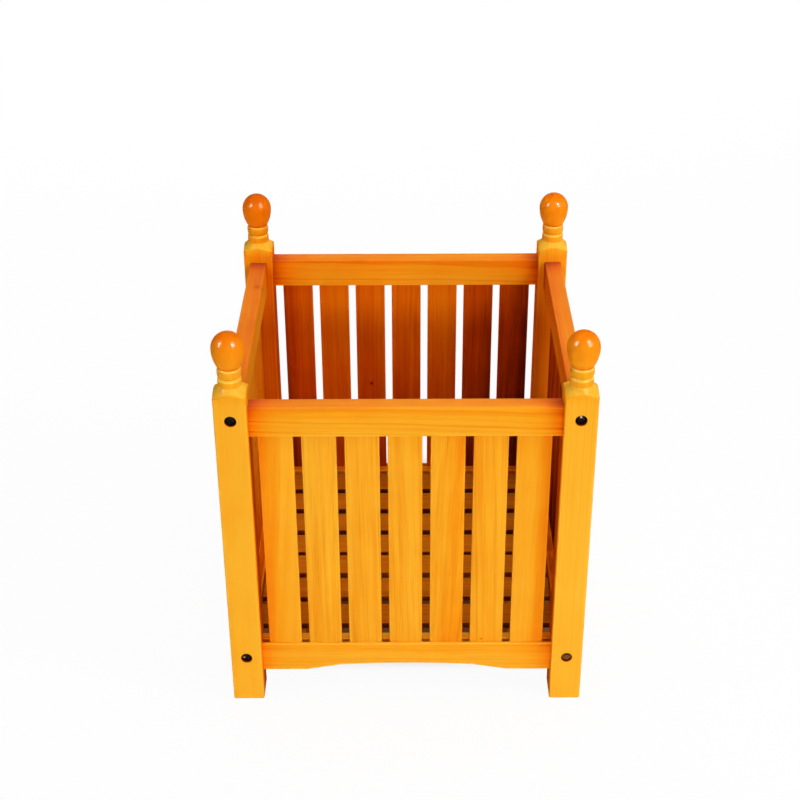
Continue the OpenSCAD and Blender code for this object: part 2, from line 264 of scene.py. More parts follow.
class Graph:
    """The node tree of one material or world."""

    def __init__(self, owner: bpy.types.Material | bpy.types.World) -> None:
        """Clears the owner's node tree.

        Args:
            owner: The material or world whose nodes this graph makes.
        """
        owner.use_nodes = True
        self.tree = owner.node_tree
        self.tree.nodes.clear()

    def add(self, kind: str, settings: dict[str, Any], values: dict[Any, Any]) -> bpy.types.Node:
        """Adds a node, sets it up and fills its sockets.

        Args:
            kind: The node's type.
            settings: The node's own settings, set first. "stops" are a ramp's places and colours.
            values: A number, colour, vector or Flow for each socket, by its index, name or
                identifier.

        Returns:
            The new node.
        """
        node = self.tree.nodes.new(kind)
        for name, setting in settings.items():
            if name == "stops":
                self._set_stops(node.color_ramp, setting)
            else:
                setattr(node, name, setting)
        for name, value in values.items():
            socket = self._socket(node, name)
            if isinstance(value, Flow):
                self.tree.links.new(value.socket, socket)
            else:
                socket.default_value = value
        return node

    @staticmethod
    def _socket(node: bpy.types.Node, name: Any) -> bpy.types.NodeSocket:
        """Finds a node's input.

        Args:
            node: The node.
            name: The input's index, identifier or name.

        Returns:
            The first input that fits.
        """
        if isinstance(name, int):
            return node.inputs[name]
        exact = [socket for socket in node.inputs if socket.identifier == name]
        return (exact or [socket for socket in node.inputs if socket.name == name])[0]

    @staticmethod
    def _set_stops(ramp: bpy.types.ColorRamp, stops: Stops) -> None:
        """Gives a ramp its stops.

        Args:
            ramp: The ramp.
            stops: Place and colour of each stop, from left to right.
        """
        while len(ramp.elements) < len(stops):
            ramp.elements.new(1.0)
        for element, (place, colour) in zip(ramp.elements, stops):
            element.position = place
            element.color = colour

    def number(
        self, kind: str, settings: dict[str, Any], values: dict[Any, Any], out: Any = 0
    ) -> Number:
        """Adds a node and returns one output as a number."""
        return Number(self, self.add(kind, settings, values).outputs[out])

    def arrow(
        self, kind: str, settings: dict[str, Any], values: dict[Any, Any], out: Any = 0
    ) -> Arrow:
        """Adds a node and returns one output as a vector or colour."""
        return Arrow(self, self.add(kind, settings, values).outputs[out])

    def mark(self, name: str) -> Number:
        """A number that the piece's mesh carries under a name."""
        return self.number("ShaderNodeAttribute", {"attribute_name": name}, {}, "Fac")

    def place(self, name: str) -> Arrow:
        """A vector that the piece's mesh carries under a name."""
        return self.arrow("ShaderNodeAttribute", {"attribute_name": name}, {}, "Vector")

    def point(self) -> Arrow:
        """The point on the surface, in object coordinates."""
        return self.arrow("ShaderNodeTexCoord", {}, {}, "Object")

    def noise(self, where: Arrow, detail: float = 2.0, rough: float = 0.5) -> Number:
        """Soft noise from 0 to 1 about 0.5, with one swell per unit of where."""
        values = {"Vector": where, "Scale": 1.0, "Detail": detail, "Roughness": rough}
        return self.number("ShaderNodeTexNoise", {}, values)

    def grain(self, place: Arrow, layer: Layer) -> Number:
        """A layer's noise at a place in the log."""
        scale = (layer.across, layer.across, layer.along)
        return self.noise(place * scale, layer.detail, layer.rough)

    def speckle(self, rate: float, detail: float = 2.0, rough: float = 0.5) -> Number:
        """Even noise on object coordinates, with so many swells per metre."""
        return self.noise(self.point() * (rate, rate, rate), detail, rough)

    def mix(self, share: Number, a: Any, b: Any) -> Arrow:
        """The colour a where share is 0 and b where it is 1."""
        values = {"Factor_Float": share, "A_Color": a, "B_Color": b}
        return self.arrow("ShaderNodeMix", {"data_type": "RGBA"}, values, 2)

    def combine(self, x: Any, y: Any, z: Any) -> Arrow:
        """A vector from three numbers."""
        return self.arrow("ShaderNodeCombineXYZ", {}, {0: x, 1: y, 2: z})

    def end(self, shader: bpy.types.Node, kind: str = "ShaderNodeOutputMaterial") -> None:
        """Links a shader to the tree's output."""
        output = self.tree.nodes.new(kind)
        self.tree.links.new(shader.outputs[0], output.inputs["Surface"])

    def end_in_surface(
        self, sockets: dict[str, Any], height: Number, strength: float, deep: float
    ) -> None:
        """Ends the tree in a Principled shader whose normal follows a height.

        Args:
            sockets: Values or links of the shader's other sockets.
            height: The height, where 1 stands for the depth of the bumps.
            strength: How strongly the bumps show.
            deep: The depth of the bumps.
        """
        bump = {"Strength": strength, "Distance": deep, "Height": height}
        normal = self.arrow("ShaderNodeBump", {}, bump)
        self.end(self.add("ShaderNodeBsdfPrincipled", {}, {**sockets, "Normal": normal}))


# Finishes


# Colours of the stain from thin to thick, as shares of its depth
STAIN: Stops = (
    (0.00, linear(255, 224, 126)),
    (0.07, linear(251, 199, 68)),
    (0.20, linear(249, 180, 46)),
    (0.38, linear(247, 157, 24)),
    (0.56, linear(241, 121, 4)),
    (0.74, linear(210, 82, 1)),
    (1.00, linear(104, 32, 1)),
)
# Browner than STAIN: partly the boards' own tone, partly painted shade inside the planter
FLOOR_STAIN_AND_SHADE: Stops = (
    (0.00, linear(238, 184, 80)),
    (0.25, linear(228, 158, 46)),
    (0.50, linear(213, 124, 20)),
    (0.75, linear(184, 100, 14)),
    (1.00, linear(104, 44, 6)),
)


@dataclass(frozen=True)
class Finish:
    """A surface finish, which makes one material."""

    name: str

    def make(self) -> bpy.types.Material:
        """Builds the material.

        Returns:
            The finished material.
        """
        material = bpy.data.materials.new(self.name)
        self.paint(Graph(material))
        return material

    def paint(self, graph: Graph) -> None:
        """Adds the finish's nodes to the material's graph."""
        raise NotImplementedError


@dataclass(frozen=True)
class Grain:
    """What a piece of wood shows of its log.

    The rings, the knots with the wood round them, the heart, the flecks, the lines and the end
    grain go from 0 to about 1. The streaks lie about 0.5, and fibre, hair and cloud about 0.
    """

    ring: Number
    core: Number
    halo: Number
    heart: Number
    fibre: Number
    hair: Number
    fleck: Number
    streak: Number
    line: Number
    cloud: Number
    butt: Number


@dataclass(frozen=True)
class StainedWood(Finish):
    """Softwood under an orange stain and a satin varnish.

    The grain is worked out from the piece's place in its log: rings round a pith that wander
    along the log, finer fibres along it, and knots that run out from the pith. All of these and
    the marks that the mesh carries, painted light and shade among them, add up to a depth of
    stain, which a ramp turns into a colour. Above a height of its own the varnish is thicker
    and hides most of the grain, and a pale colour may be mixed in there as a painted sheen.
    """

    stops: Stops = STAIN
    # What adds to the depth of stain, and over what distance
    depth: float = 0.24
    ring_gain: float = 0.10
    fibre_gain: float = 0.20
    hair_gain: float = 0.12
    fleck_gain: float = 0.08
    streak_gain: float = 0.16
    cloud_gain: float = 0.14
    heart_gain: float = 0.09
    # Darker towards the ends: partly stain that pooled there, partly painted shade where parts meet
    pool_gain: float = 0.22
    pool_reach: float = 34 * MM
    # Paler along the arrises: partly worn edges, partly a painted highlight
    arris_gain: float = 0.05
    arris_reach: float = 1.6 * MM
    butt_gain: float = 0.06
    butt_edge: tuple[float, float] = (0.35, 0.95)
    halo_gain: float = 0.05
    core_gain: float = 0.40
    # What multiplies the shade into the colour, and how far a deeper stain hides it
    shade: tuple[float, float, float] = (0.87, 0.71, 0.52)
    hiding_stain: tuple[float, float] = (0.03, 0.28)
    hides: float = 0.65
    shade_gain: float = 0.25
    line_gain: float = 0.25
    band_gain: float = 0.0
    # Rings, and how far their pith wanders
    ring_pitch: float = 5.0 * MM
    swell_rate: float = 0.31
    swell_years: float = 3.2
    late_wood: tuple[float, float] = (0.15, 0.90)
    late_power: float = 1.6
    vigour: tuple[float, float] = (0.15, 1.1)
    wander: float = 7 * MM
    sway: float = 2.1
    sway_across: float = 6.0
    heart_edge: tuple[float, float] = (-4 * MM, 6 * MM)
    # Knots: cells per unit of a pattern laid round and along the log, and their least and added
    # radius. The edges are shares of a knot's radius.
    knot_rate: float = 7.5
    knot_turn: float = 0.06
    knot_along: float = 0.6
    knot_share: float = 0.3
    knot_r: tuple[float, float] = (0.6 * MM, 1.7 * MM)
    core_edge: tuple[float, float] = (0.5, 1.2)
    halo_edge: tuple[float, float] = (0.8, 3.6)
    halo_push: float = 0.8 * MM
    # Finer grain
    fibre: Layer = Layer(190.0, 2.6, 3.0, 0.6)
    hair: Layer = Layer(1100.0, 16.0, 2.0, 0.6)
    fleck: Layer = Layer(620.0, 11.0, 1.0)
    fleck_edge: tuple[float, float] = (0.60, 0.78)
    streak: Layer = Layer(58.0, 2.4, 2.0, 0.55)
    band_edge: tuple[float, float] = (0.48, 0.72)
    line: Layer = Layer(500.0, 6.0, 2.0, 0.6)
    line_edge: tuple[float, float] = (0.50, 0.68)
    cloud: tuple[float, float, float] = (9.0, 9.0, 6.0)
    cloud_own: float = 3.0
    # The varnish, and what roughens it
    roughness: float = 0.38
    hair_rough: float = 0.16
    cloud_rough: float = 0.10
    butt_rough: float = 0.08
    specular: float = 0.0
    coat: float = 0.03
    coat_roughness: float = 0.18
    gloss: float = 0.0
    gloss_from: float = 10.0
    gloss_edge: float = 2 * MM
    gloss_hides: float = 0.8
    # A pale colour mixed over the thicker varnish: painted sheen
    film: float = 0.0
    film_colour: Colour = linear(255, 230, 215)
    # The bump, and what raises or lowers it
    bump: float = 0.35
    bump_deep: float = 0.2 * MM
    hair_height: float = 0.5
    fibre_height: float = 0.4
    ring_height: float = -0.35
    core_height: float = -0.6

    def _knots(self, graph: Graph, place: Arrow) -> tuple[Number, Number]:
        """Branches seen where they leave the wood.

        A cell pattern on the angle round the pith and the height holds one branch per cell, and
        only a share of the cells has one. The core is the branch itself and the halo the wood
        round it.

        Args:
            graph: The material's nodes.
            place: The place in the log.

        Returns:
            The core and the halo, from 0 to 1.
        """
        x, y, z = place.split()
        where = graph.combine(y.turn_from(x) * self.knot_turn, z * self.knot_along, 0.0)
        flat = {"voronoi_dimensions": "2D"}
        cells = graph.add("ShaderNodeTexVoronoi", flat, {"Vector": where, "Scale": self.knot_rate})
        away = Number(graph, cells.outputs["Distance"]) / self.knot_rate
        size, chance, _ = Arrow(graph, cells.outputs["Color"]).split()
        there = chance.above(1 - self.knot_share)
        least, growth = self.knot_r
        radius = size * size * growth + least
        core, halo = (
            (1 - away.ease(radius * near, radius * far)) * there
            for near, far in (self.core_edge, self.halo_edge)
        )
        return core, halo

    def _rings(self, graph: Graph, radius: Number) -> Number:
        """The dark wood of each year's ring, from 0 to about 1.

        The radius over the pitch, pushed by a slow swell, counts the years. In each year the
        late wood darkens slowly and ends sharply, and each year has a vigour of its own.

        Args:
            graph: The material's nodes.
            radius: Distance from the pith.

        Returns:
            How strong the late wood is.
        """
        swell = graph.number(
            "ShaderNodeTexNoise",
            {"noise_dimensions": "1D"},
            {"W": radius * (self.swell_rate / self.ring_pitch), "Scale": 1.0, "Detail": 1.0},
        )
        years = radius / self.ring_pitch + swell * self.swell_years
        share = years.part()
        start, end = self.late_wood
        late = share.ease(start, end) ** self.late_power * (1 - share.ease(end, 1.0))
        one_number = {"noise_dimensions": "1D"}
        vigour = graph.number("ShaderNodeTexWhiteNoise", one_number, {"W": years.whole()})
        least, growth = self.vigour
        return late * (vigour * vigour * growth + least)

    def _grain(self, graph: Graph) -> Grain:
        """The grain where the piece was cut from its log.

        The rings and the heart follow the distance from a pith that sways along the log.

        Args:
            graph: The material's nodes.

        Returns:
            The grain.
        """
        place = graph.place("log")
        swings = place * (self.sway_across, self.sway_across, self.sway)
        soft = {"Vector": swings, "Scale": 1.0, "Detail": 2.5}
        sway = graph.arrow("ShaderNodeTexNoise", {}, soft, "Color") - (0.5, 0.5, 0.5)
        bent = place + sway * (self.wander, self.wander, 0.0)
        from_pith = (bent * (1.0, 1.0, 0.0)).length()
        core, halo = self._knots(graph, place)
        clouds = graph.point() * self.cloud + place * (0.0, 0.0, self.cloud_own)
        return Grain(
            ring=self._rings(graph, from_pith + halo * self.halo_push),
            core=core,
            halo=halo,
            heart=1 - (from_pith - graph.mark("heart")).ease(*self.heart_edge),
            fibre=graph.grain(place, self.fibre) - 0.5,
            hair=graph.grain(place, self.hair) - 0.5,
            fleck=graph.grain(place, self.fleck).ease(*self.fleck_edge),
            streak=graph.grain(place, self.streak),
            line=graph.grain(place, self.line).ease(*self.line_edge),
            cloud=graph.noise(clouds) - 0.5,
            butt=graph.mark("butt").ease(*self.butt_edge),
        )

    def _depth(self, graph: Graph, grain: Grain, shown: Number) -> Number:
        """The depth of stain: the sum of what the grain and the marks on the mesh add, painted
        light and shade among them.

        Args:
            graph: The material's nodes.
            grain: The piece's grain.
            shown: How strongly the grain shows.

        Returns:
            The depth, from 0 at the ramp's first stop to 1 at its last.
        """
        rim = 1 - graph.mark("rim").ease(0.0, self.arris_reach)
        # Darker near the ends: partly pooled stain, partly painted shade
        pool_and_shade = (graph.mark("reach") * (-1 / self.pool_reach)).exponent()
        return (
            graph.mark("stain")
            + self.depth
            + grain.ring * shown * self.ring_gain
            + grain.fibre * shown * self.fibre_gain
            + grain.hair * self.hair_gain
            + grain.fleck * self.fleck_gain
            + (grain.streak - 0.5) * self.streak_gain
            + grain.cloud * self.cloud_gain
            + pool_and_shade * self.pool_gain
            + grain.butt * self.butt_gain
            - rim * self.arris_gain
            + grain.halo * self.halo_gain
            + grain.core * shown * self.core_gain
            + grain.heart * self.heart_gain
        )

    def paint(self, graph: Graph) -> None:
        """Adds the wood's nodes.

        Args:
            graph: The material's nodes.
        """
        grain = self._grain(graph)
        z = graph.point().split()[2]
        polished = z.ease(self.gloss_from - self.gloss_edge, self.gloss_from)
        shown = (1 - polished * self.gloss_hides) * graph.mark("figure")
        depth = self._depth(graph, grain, shown)
        colour = graph.arrow("ShaderNodeValToRGB", {"stops": self.stops}, {"Fac": depth})
        band = grain.streak.ease(*self.band_edge)
        shading = grain.ring * self.shade_gain + grain.line * self.line_gain + band * self.band_gain
        thin = (1 - graph.mark("stain").ease(*self.hiding_stain) * self.hides) * shown
        colour = graph.mix(shading * thin, colour, colour * self.shade)
        # Painted sheen where the varnish is thicker
        colour = graph.mix(polished * self.film, colour, self.film_colour)
        rough = (
            grain.hair * self.hair_rough
            + grain.cloud * self.cloud_rough
            + grain.butt * self.butt_rough
            + self.roughness
        )
        height = (
            grain.hair * self.hair_height
            + grain.fibre * self.fibre_height
            + grain.ring * self.ring_height
            + grain.core * self.core_height
        )
        sockets = {
            "Base Color": colour,
            "Roughness": rough,
            "Specular IOR Level": self.specular,
            "Coat Weight": polished * self.gloss + self.coat,
            "Coat Roughness": self.coat_roughness,
        }
        graph.end_in_surface(sockets, height, self.bump, self.bump_deep)


@dataclass(frozen=True)
class BlackenedSteel(Finish):
    """Black oxide on steel, rubbed thin in patches.

    Where the mesh carries a stain of 1 the black has worn off and the metal is brown, and
    where it carries 2 a painted glint shows in a pale colour.
    """

    name: str = "blackened_steel"
    dark: Colour = linear(6, 5, 5)
    worn: Colour = linear(30, 27, 26)
    brown: Colour = linear(176, 112, 52)
    bare: Colour = linear(244, 220, 206)
    roughness: float = 0.20
    specular: float = 0.12
    grit_rate: float = 1900.0
    rub_rate: float = 260.0

    def paint(self, graph: Graph) -> None:
        """Adds the steel's nodes.

        Args:
            graph: The material's nodes.
        """
        grit = graph.speckle(self.grit_rate, 3.0, 0.6)
        rub = graph.speckle(self.rub_rate, 3.0, 0.6)
        worn = rub.ease(0.56, 0.74)
        # 1 where the black has worn off, 2 or more for a painted glint
        lost_black_and_glint = graph.mark("stain")
        black = graph.mix(worn, self.dark, self.worn)
        brown = graph.mix(lost_black_and_glint * (rub.ease(0.35, 0.60) * 0.5 + 0.5), black, self.brown)
        graph.end_in_surface(
            {
                "Base Color": graph.mix(lost_black_and_glint - 1.0, brown, self.bare),
                "Roughness": grit * 0.12 + worn * 0.08 + (self.roughness - 0.06),
                "Metallic": worn * 0.3 + lost_black_and_glint * 0.3,
                "Specular IOR Level": self.specular,
            },
            grit * 0.6 + rub * 0.4,
            strength=0.15,
            deep=0.06 * MM,
        )


@dataclass(frozen=True)
class BrightSteel(Finish):
    """Zinc on turned steel, with fine grit and a few dull spots."""

    name: str = "zinc_steel"
    bright: Colour = linear(190, 190, 186)
    dull: Colour = linear(128, 126, 120)
    roughness: float = 0.22
    grit_rate: float = 1500.0
    spot_rate: float = 420.0

    def paint(self, graph: Graph) -> None:
        """Adds the zinc's nodes.

        Args:
            graph: The material's nodes.
        """
        grit = graph.speckle(self.grit_rate, 3.0, 0.6)
        spots = graph.speckle(self.spot_rate).ease(0.48, 0.68)
        graph.end_in_surface(
            {
                "Base Color": graph.mix(spots, self.bright, self.dull),
                "Roughness": grit * 0.2 + spots * 0.2 + self.roughness,
                "Metallic": 1.0 - spots * 0.3,
            },
            grit,
            strength=0.25,
            deep=0.05 * MM,
        )


@dataclass(frozen=True)
class BareBeech(Finish):
    """Unstained beech of the dowels, with short dark flecks."""

    name: str = "bare_beech"
    pale: Colour = linear(224, 190, 140)
    fleck: Colour = linear(176, 130, 84)
    roughness: float = 0.55
    specular: float = 0.35
    fleck_rate: float = 900.0
    cloud_rate: float = 120.0

    def paint(self, graph: Graph) -> None:
        """Adds the beech's nodes.

        Args:
            graph: The material's nodes.
        """
        fleck = graph.speckle(self.fleck_rate).ease(0.55, 0.72)
        cloud = graph.speckle(self.cloud_rate, 3.0)
        graph.end_in_surface(
            {
                "Base Color": graph.mix(fleck * 0.5 + cloud * 0.4, self.pale, self.fleck),
                "Roughness": fleck * 0.1 + cloud * 0.1 + self.roughness,
                "Specular IOR Level": self.specular,
            },
            cloud + fleck,
            strength=0.3,
            deep=0.1 * MM,
        )


POST_FINISH = StainedWood(
    "post_stain",
    ring_pitch=5.2 * MM,
    ring_gain=0.05,
    fibre_gain=0.12,
    hair_gain=0.08,
    fleck_gain=0.03,
    streak_gain=0.08,
    shade_gain=0.10,
    line_gain=0.05,
    coat=0.012,
    gloss=0.033,
    gloss_from=537 * MM,
)
RAIL_FINISH = StainedWood(
    "rail_stain",
    depth=0.27,
    ring_pitch=6.4 * MM,
    ring_gain=0.11,
    shade_gain=0.16,
    pool_gain=0.36,
    pool_reach=20 * MM,
    line_gain=0.2,
    wander=9 * MM,
    sway=5.0,
    coat=0.02,
    coat_roughness=0.3,
    gloss_from=482 * MM,
    film=0.024,
)
LOWER_RAIL_FINISH = StainedWood(
    "lower_rail_stain",
    depth=0.27,
    ring_pitch=7.0 * MM,
    ring_gain=0.05,
    pool_gain=0.26,
    pool_reach=22 * MM,
    # Paler arrises, stronger here: a painted highlight along the upper front edge
    arris_gain=0.2,
    shade_gain=0.12,
    sway=4.0,
    coat=0.05,
)
SLAT_FINISH = StainedWood(
    "slat_stain",
    depth=0.265,
    ring_pitch=3.2 * MM,
    ring_gain=0.03,
    streak_gain=0.22,
    pool_gain=0.05,
    shade_gain=0.45,
    line_gain=0.5,
    band_gain=0.28,
)
FLOOR_FINISH = StainedWood(
    "floor_stain",
    stops=FLOOR_STAIN_AND_SHADE,
    depth=0.44,
    ring_pitch=4.6 * MM,
    ring_gain=0.08,
    pool_gain=0.10,
    coat=0.02,
)
BOLT_FINISH = BlackenedSteel()
STEEL_FINISH = BrightSteel()
NAIL_FINISH = BlackenedSteel(
    "nail_steel_under_stain",
    dark=linear(196, 108, 20),
    worn=linear(186, 102, 30),
    roughness=0.6,
    specular=0.02,
)
DOWEL_FINISH = BareBeech()


# Meshes


@dataclass(frozen=True)
class LogPlace:
    """Where a piece was cut from its log.

    A piece's own coordinates run across its face, into its thickness and along its length. They
    lean a little against the log, in degrees, and are moved away from the pith. The heart is the
    radius of the log's darker core, or 0, and the figure how strongly the grain shows, 1 where it
    shows in full.
    """

    pith_across: float
    pith_deep: float
    lean_across: float = 0.0
    lean_deep: float = 0.0
    along: float = 0.0
    heart: float = 0.0
    figure: float = 1.0

    def apply(self, own: Array) -> Array:
        """Turns a piece's own coordinates into log coordinates.

        Args:
            own: Points (n, 3) across, deep and along.

        Returns:
            Points (n, 3). Across and deep grow by the lean's tangent times the length along, and
            then by the distance of the pith; along grows by a place of its own.
        """
        across = own[:, 0] + np.tan(np.radians(self.lean_across)) * own[:, 2] + self.pith_across
        deep = own[:, 1] + np.tan(np.radians(self.lean_deep)) * own[:, 2] + self.pith_deep
        return np.stack([across, deep, own[:, 2] + self.along], axis=1)

    @staticmethod
    def drawn(chance: np.random.Generator, far: float = 55 * MM) -> LogPlace:
        """Draws a place at random, about far from the pith.

        Args:
            chance: Source of the random numbers.
            far: Usual distance from the pith.

        Returns:
            The place.
        """
        distance = far * chance.uniform(0.5, 1.6)
        angle = chance.uniform(0, FULL_TURN)
        return LogPlace(
            pith_across=float(distance * math.cos(angle)),
            pith_deep=float(distance * math.sin(angle)),
            lean_across=float(chance.uniform(-1.3, 1.3)),
            lean_deep=float(chance.uniform(-1.6, 1.6)),
            along=float(chance.uniform(0, 40)),
        )


@dataclass
class Skin:
    """A surface under construction: its points with their marks, and its faces.

    own holds each point across, deep and along its piece of wood; rim and reach are a point's
    distances to the nearest long edge and the nearest end; stain is the extra depth of stain,
    painted light and shade among it.
    """

    points: Array
    own: Array
    rim: Array
    reach: Array
    stain: Array
    quads: Array
    caps: list[Array] = field(default_factory=list)

    @staticmethod
    def plain(points: Array, quads: Array, caps: list[Array]) -> Skin:
        """A metal surface, which carries no marks of wood."""
        zeros = np.zeros(len(points))
        return Skin(points, points, zeros, zeros, zeros, quads, caps)

    @property
    def count(self) -> int:
        """How many points the surface has."""
        return len(self.points)

    def tint(self, depth: Array) -> None:
        """Adds to the depth of stain of every point."""
        self.stain = self.stain + depth

    def join(self, other: Skin) -> Skin:
        """Puts another surface beside this one, without sharing points.

        Args:
            other: The other surface.

        Returns:
            Both in one surface, self's points first.
        """
        marks = ("points", "own", "rim", "reach", "stain")
        both = {name: np.concatenate([getattr(self, name), getattr(other, name)]) for name in marks}
        quads = np.concatenate([self.quads, other.quads + self.count])
        return Skin(**both, quads=quads, caps=self.caps + [cap + self.count for cap in other.caps])


def grid_quads(rows: int, columns: int) -> Array:
    """Faces of a grid of points whose columns close into a ring.

    Args:
        rows: Number of rows of points.
        columns: Number of points in a row.

    Returns:
        Quads (rows - 1, columns, 4). Face (i, j) joins points (i, j), (i, j + 1), (i + 1, j + 1)
        and (i + 1, j), with j + 1 taken round the ring.
    """
    row, column = np.meshgrid(np.arange(rows - 1), np.arange(columns), indexing="ij")
    here = row * columns + column
    following = row * columns + (column + 1) % columns
    return np.stack([here, following, following + columns, here + columns], axis=-1)


def end_caps(rows: int, columns: int) -> list[Array]:
    """The faces that close a grid's first and last row."""
    ring = np.arange(columns)
    return [ring[::-1], ring + (rows - 1) * columns]


def fan(first: int, size: int, tip: int) -> list[Array]:
    """Triangles from a ring of points to a tip.

    Args:
        first: Number of the ring's first point.
        size: Number of points in the ring.
        tip: Number of the tip's point.

    Returns:
        One triangle for each point of the ring: that point, the next one round the ring and the
        tip.
    """
    ring = np.arange(size)
    return list(np.stack([first + ring, first + (ring + 1) % size, np.full(size, tip)], axis=1))


def arc(centre: tuple[float, float], radius: float, start: float, end: float, steps: int) -> Array:
    """Points of an arc: centre plus radius times (cosine, sine) of an angle from start to end.

    Args:
        centre: Centre of the arc.
        radius: Its radius.
        start: First angle in degrees.
        end: Last angle in degrees.
        steps: Number of steps.

    Returns:
        Points (steps + 1, 2).
    """
    angle = np.radians(np.linspace(start, end, steps + 1))
    return np.array(centre) + radius * np.stack([np.cos(angle), np.sin(angle)], axis=1)


@dataclass
class Outline:
    """A closed outline across a piece, with each point's distance to the nearest long edge."""

    points: Array
    rim: Array

    @staticmethod
    def through(parts: list[tuple[Array, bool]]) -> Outline:
        """Joins arcs and corners with flats that have a point in their middle.

        Args:
            parts: Points of each arc or corner in order, and whether a flat with a middle point
                follows it.

        Returns:
            The outline. A middle point lies halfway between the ends of its flat, and its distance
            to the nearest edge is half the flat's length.
        """
        points, rims = [], []
        for index, (run, flat) in enumerate(parts):
            points.append(run)
            rims.append(np.zeros(len(run)))
            if flat:
                following = parts[(index + 1) % len(parts)][0][0]
                points.append((run[-1:] + following) / 2)
                rims.append(np.array([np.linalg.norm(following - run[-1]) / 2]))
        return Outline(np.concatenate(points), np.concatenate(rims))

    @staticmethod
    def rounded(size: tuple[float, float], radius: float, steps: int = 4) -> Outline:
        """A rectangle with round corners.

        Args:
            size: Its size along u and v.
            radius: Radius of its corners.
            steps: Steps in each corner.

        Returns:
            The outline, against the clock.
        """
        u, v = size[0] / 2 - radius, size[1] / 2 - radius
        centres = ((u, -v), (u, v), (-u, v), (-u, -v))
        turns = (-90, 0, 90, 180)
        return Outline.through(
            [(arc(at, radius, turn, turn + 90, steps), True) for at, turn in zip(centres, turns)]
        )


@dataclass
class Bar:
    """A straight bar: an outline carried along its length, with eased ends.

    The outline lies across (u) and into (v) the bar. Near an end, at a distance d, each point
    moves in by ease * (1 - sine of the angle whose versed sine is d / ease), so the end edges are
    round.
    """

    outline: Outline
    length: float
    ease: float = 0.6 * MM
    stain: float = 0.0

    def skin(self) -> Skin:
        """Works out the surface.

        Returns:
            The surface with its own coordinates for points: u, v and along.
        """
        angle = np.radians(np.linspace(0, 90, 4))
        inset = self.ease * (1 - np.sin(angle))
        offset = self.ease * (1 - np.cos(angle))
        half = self.length / 2
        along = np.concatenate([offset - half, [0.0], half - offset[::-1]])
        shrink = np.concatenate([inset, [0.0], inset[::-1]])
        size = np.abs(self.outline.points).max(axis=0)
        across = self.outline.points[None] * (1 - shrink[:, None, None] / size)
        rows, columns = across.shape[:2]
        height = np.broadcast_to(along[:, None, None], (rows, columns, 1))
        points = np.concatenate([across, height], axis=2).reshape(-1, 3)
        return Skin(
            points=points,
            own=points.copy(),
            rim=np.tile(self.outline.rim, rows),
            reach=np.repeat(half - np.abs(along), columns),
            stain=np.full(len(points), self.stain),
            quads=grid_quads(rows, columns).reshape(-1, 4),
            caps=end_caps(rows, columns),
        )


def into_scene(name: str, data: bpy.types.ID) -> bpy.types.Object:
    """Makes an object and puts it into the scene.

    Args:
        name: Its name.
        data: Its mesh, lamp or camera.

    Returns:
        The object.
    """
    made = bpy.data.objects.new(name, data)
    bpy.context.scene.collection.objects.link(made)
    return made


@dataclass
class Workshop:
    """Turns surfaces into pieces that ride on the planter's body."""

    materials: dict[str, bpy.types.Material] = field(default_factory=dict)
    sharp_angle: float = 28.0

    def material(self, finish: Finish) -> bpy.types.Material:
        """Looks up a finish's material, and makes it the first time.

        Args:
            finish: The finish.

        Returns:
            The material.
        """
        if finish.name not in self.materials:
            self.materials[finish.name] = finish.make()
            log.info("finish %s made", finish.name)
        return self.materials[finish.name]

    def piece(
        self,
        name: str,
        skin: Skin,
        finish: Finish,
        replaced: str,
        cut: LogPlace | None = None,
        grain: Array = ALONG_Z,
    ) -> None:
        """Makes a piece that stands for a CAD node.

        Args:
            name: Name of the piece.
            skin: Its surface.
            finish: Its finish.
            replaced: The CAD node that it stands for.
            cut: The piece's place in its log, or None for metal.
            grain: Unit vector along the grain.
        """
        mesh = bpy.data.meshes.new(name)
        faces = skin.quads.tolist() + [cap.tolist() for cap in skin.caps]
        mesh.from_pydata(skin.points.tolist(), [], faces)
        shape = bmesh.new()
        shape.from_mesh(mesh)
        bmesh.ops.recalc_face_normals(shape, faces=shape.faces)
        shape.to_mesh(mesh)
        shape.free()
        mesh.shade_smooth()
        mesh.set_sharp_from_angle(angle=math.radians(self.sharp_angle))
        self._carry(mesh, "stain", skin.stain)
        if cut is not None:
            self._carry(mesh, "log", cut.apply(skin.own))
            self._carry(mesh, "rim", skin.rim)
            self._carry(mesh, "reach", skin.reach)
            self._carry(mesh, "heart", np.full(skin.count, cut.heart))
            self._carry(mesh, "figure", np.full(skin.count, cut.figure))
            normals = np.zeros(len(mesh.loops) * 3, np.float32)
            mesh.corner_normals.foreach_get("vector", normals)
            self._carry(mesh, "butt", np.abs(normals.reshape(-1, 3) @ grain), "CORNER")
        mesh.materials.append(self.material(finish))
        made = into_scene(name, mesh)
        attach(made, BODY)
        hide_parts(replaced)
        log.info("piece %s: %d points, %d faces", name, skin.count, len(faces))

    @staticmethod
    def _carry(mesh: bpy.types.Mesh, name: str, values: Array, domain: str = "POINT") -> None:
        """Writes values to a mesh under a name.

        Args:
            mesh: The mesh.
            name: The name.
            values: Numbers (n) or vectors (n, 3).
            domain: What carries them, points or face corners.
        """
        kind, key = ("FLOAT", "value") if values.ndim == 1 else ("FLOAT_VECTOR", "vector")
        attribute = mesh.attributes.new(name, kind, domain)
        attribute.data.foreach_set(key, np.ascontiguousarray(values, np.float32).ravel())

    def dress(self, node: str, finish: Finish) -> None:
        """Gives a CAD node a finish.

        Args:
            node: Name of the CAD node.
            finish: The finish.
        """
        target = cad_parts[node]
        target.data.materials.clear()
        target.data.materials.append(self.material(finish))
        log.info("node %s dressed in %s", node, finish.name)


@dataclass(frozen=True)
class PostTone:
    """How much deeper one post took the stain, and its shoulder."""

    whole: float = 0.0
    shoulder: float = 0.0


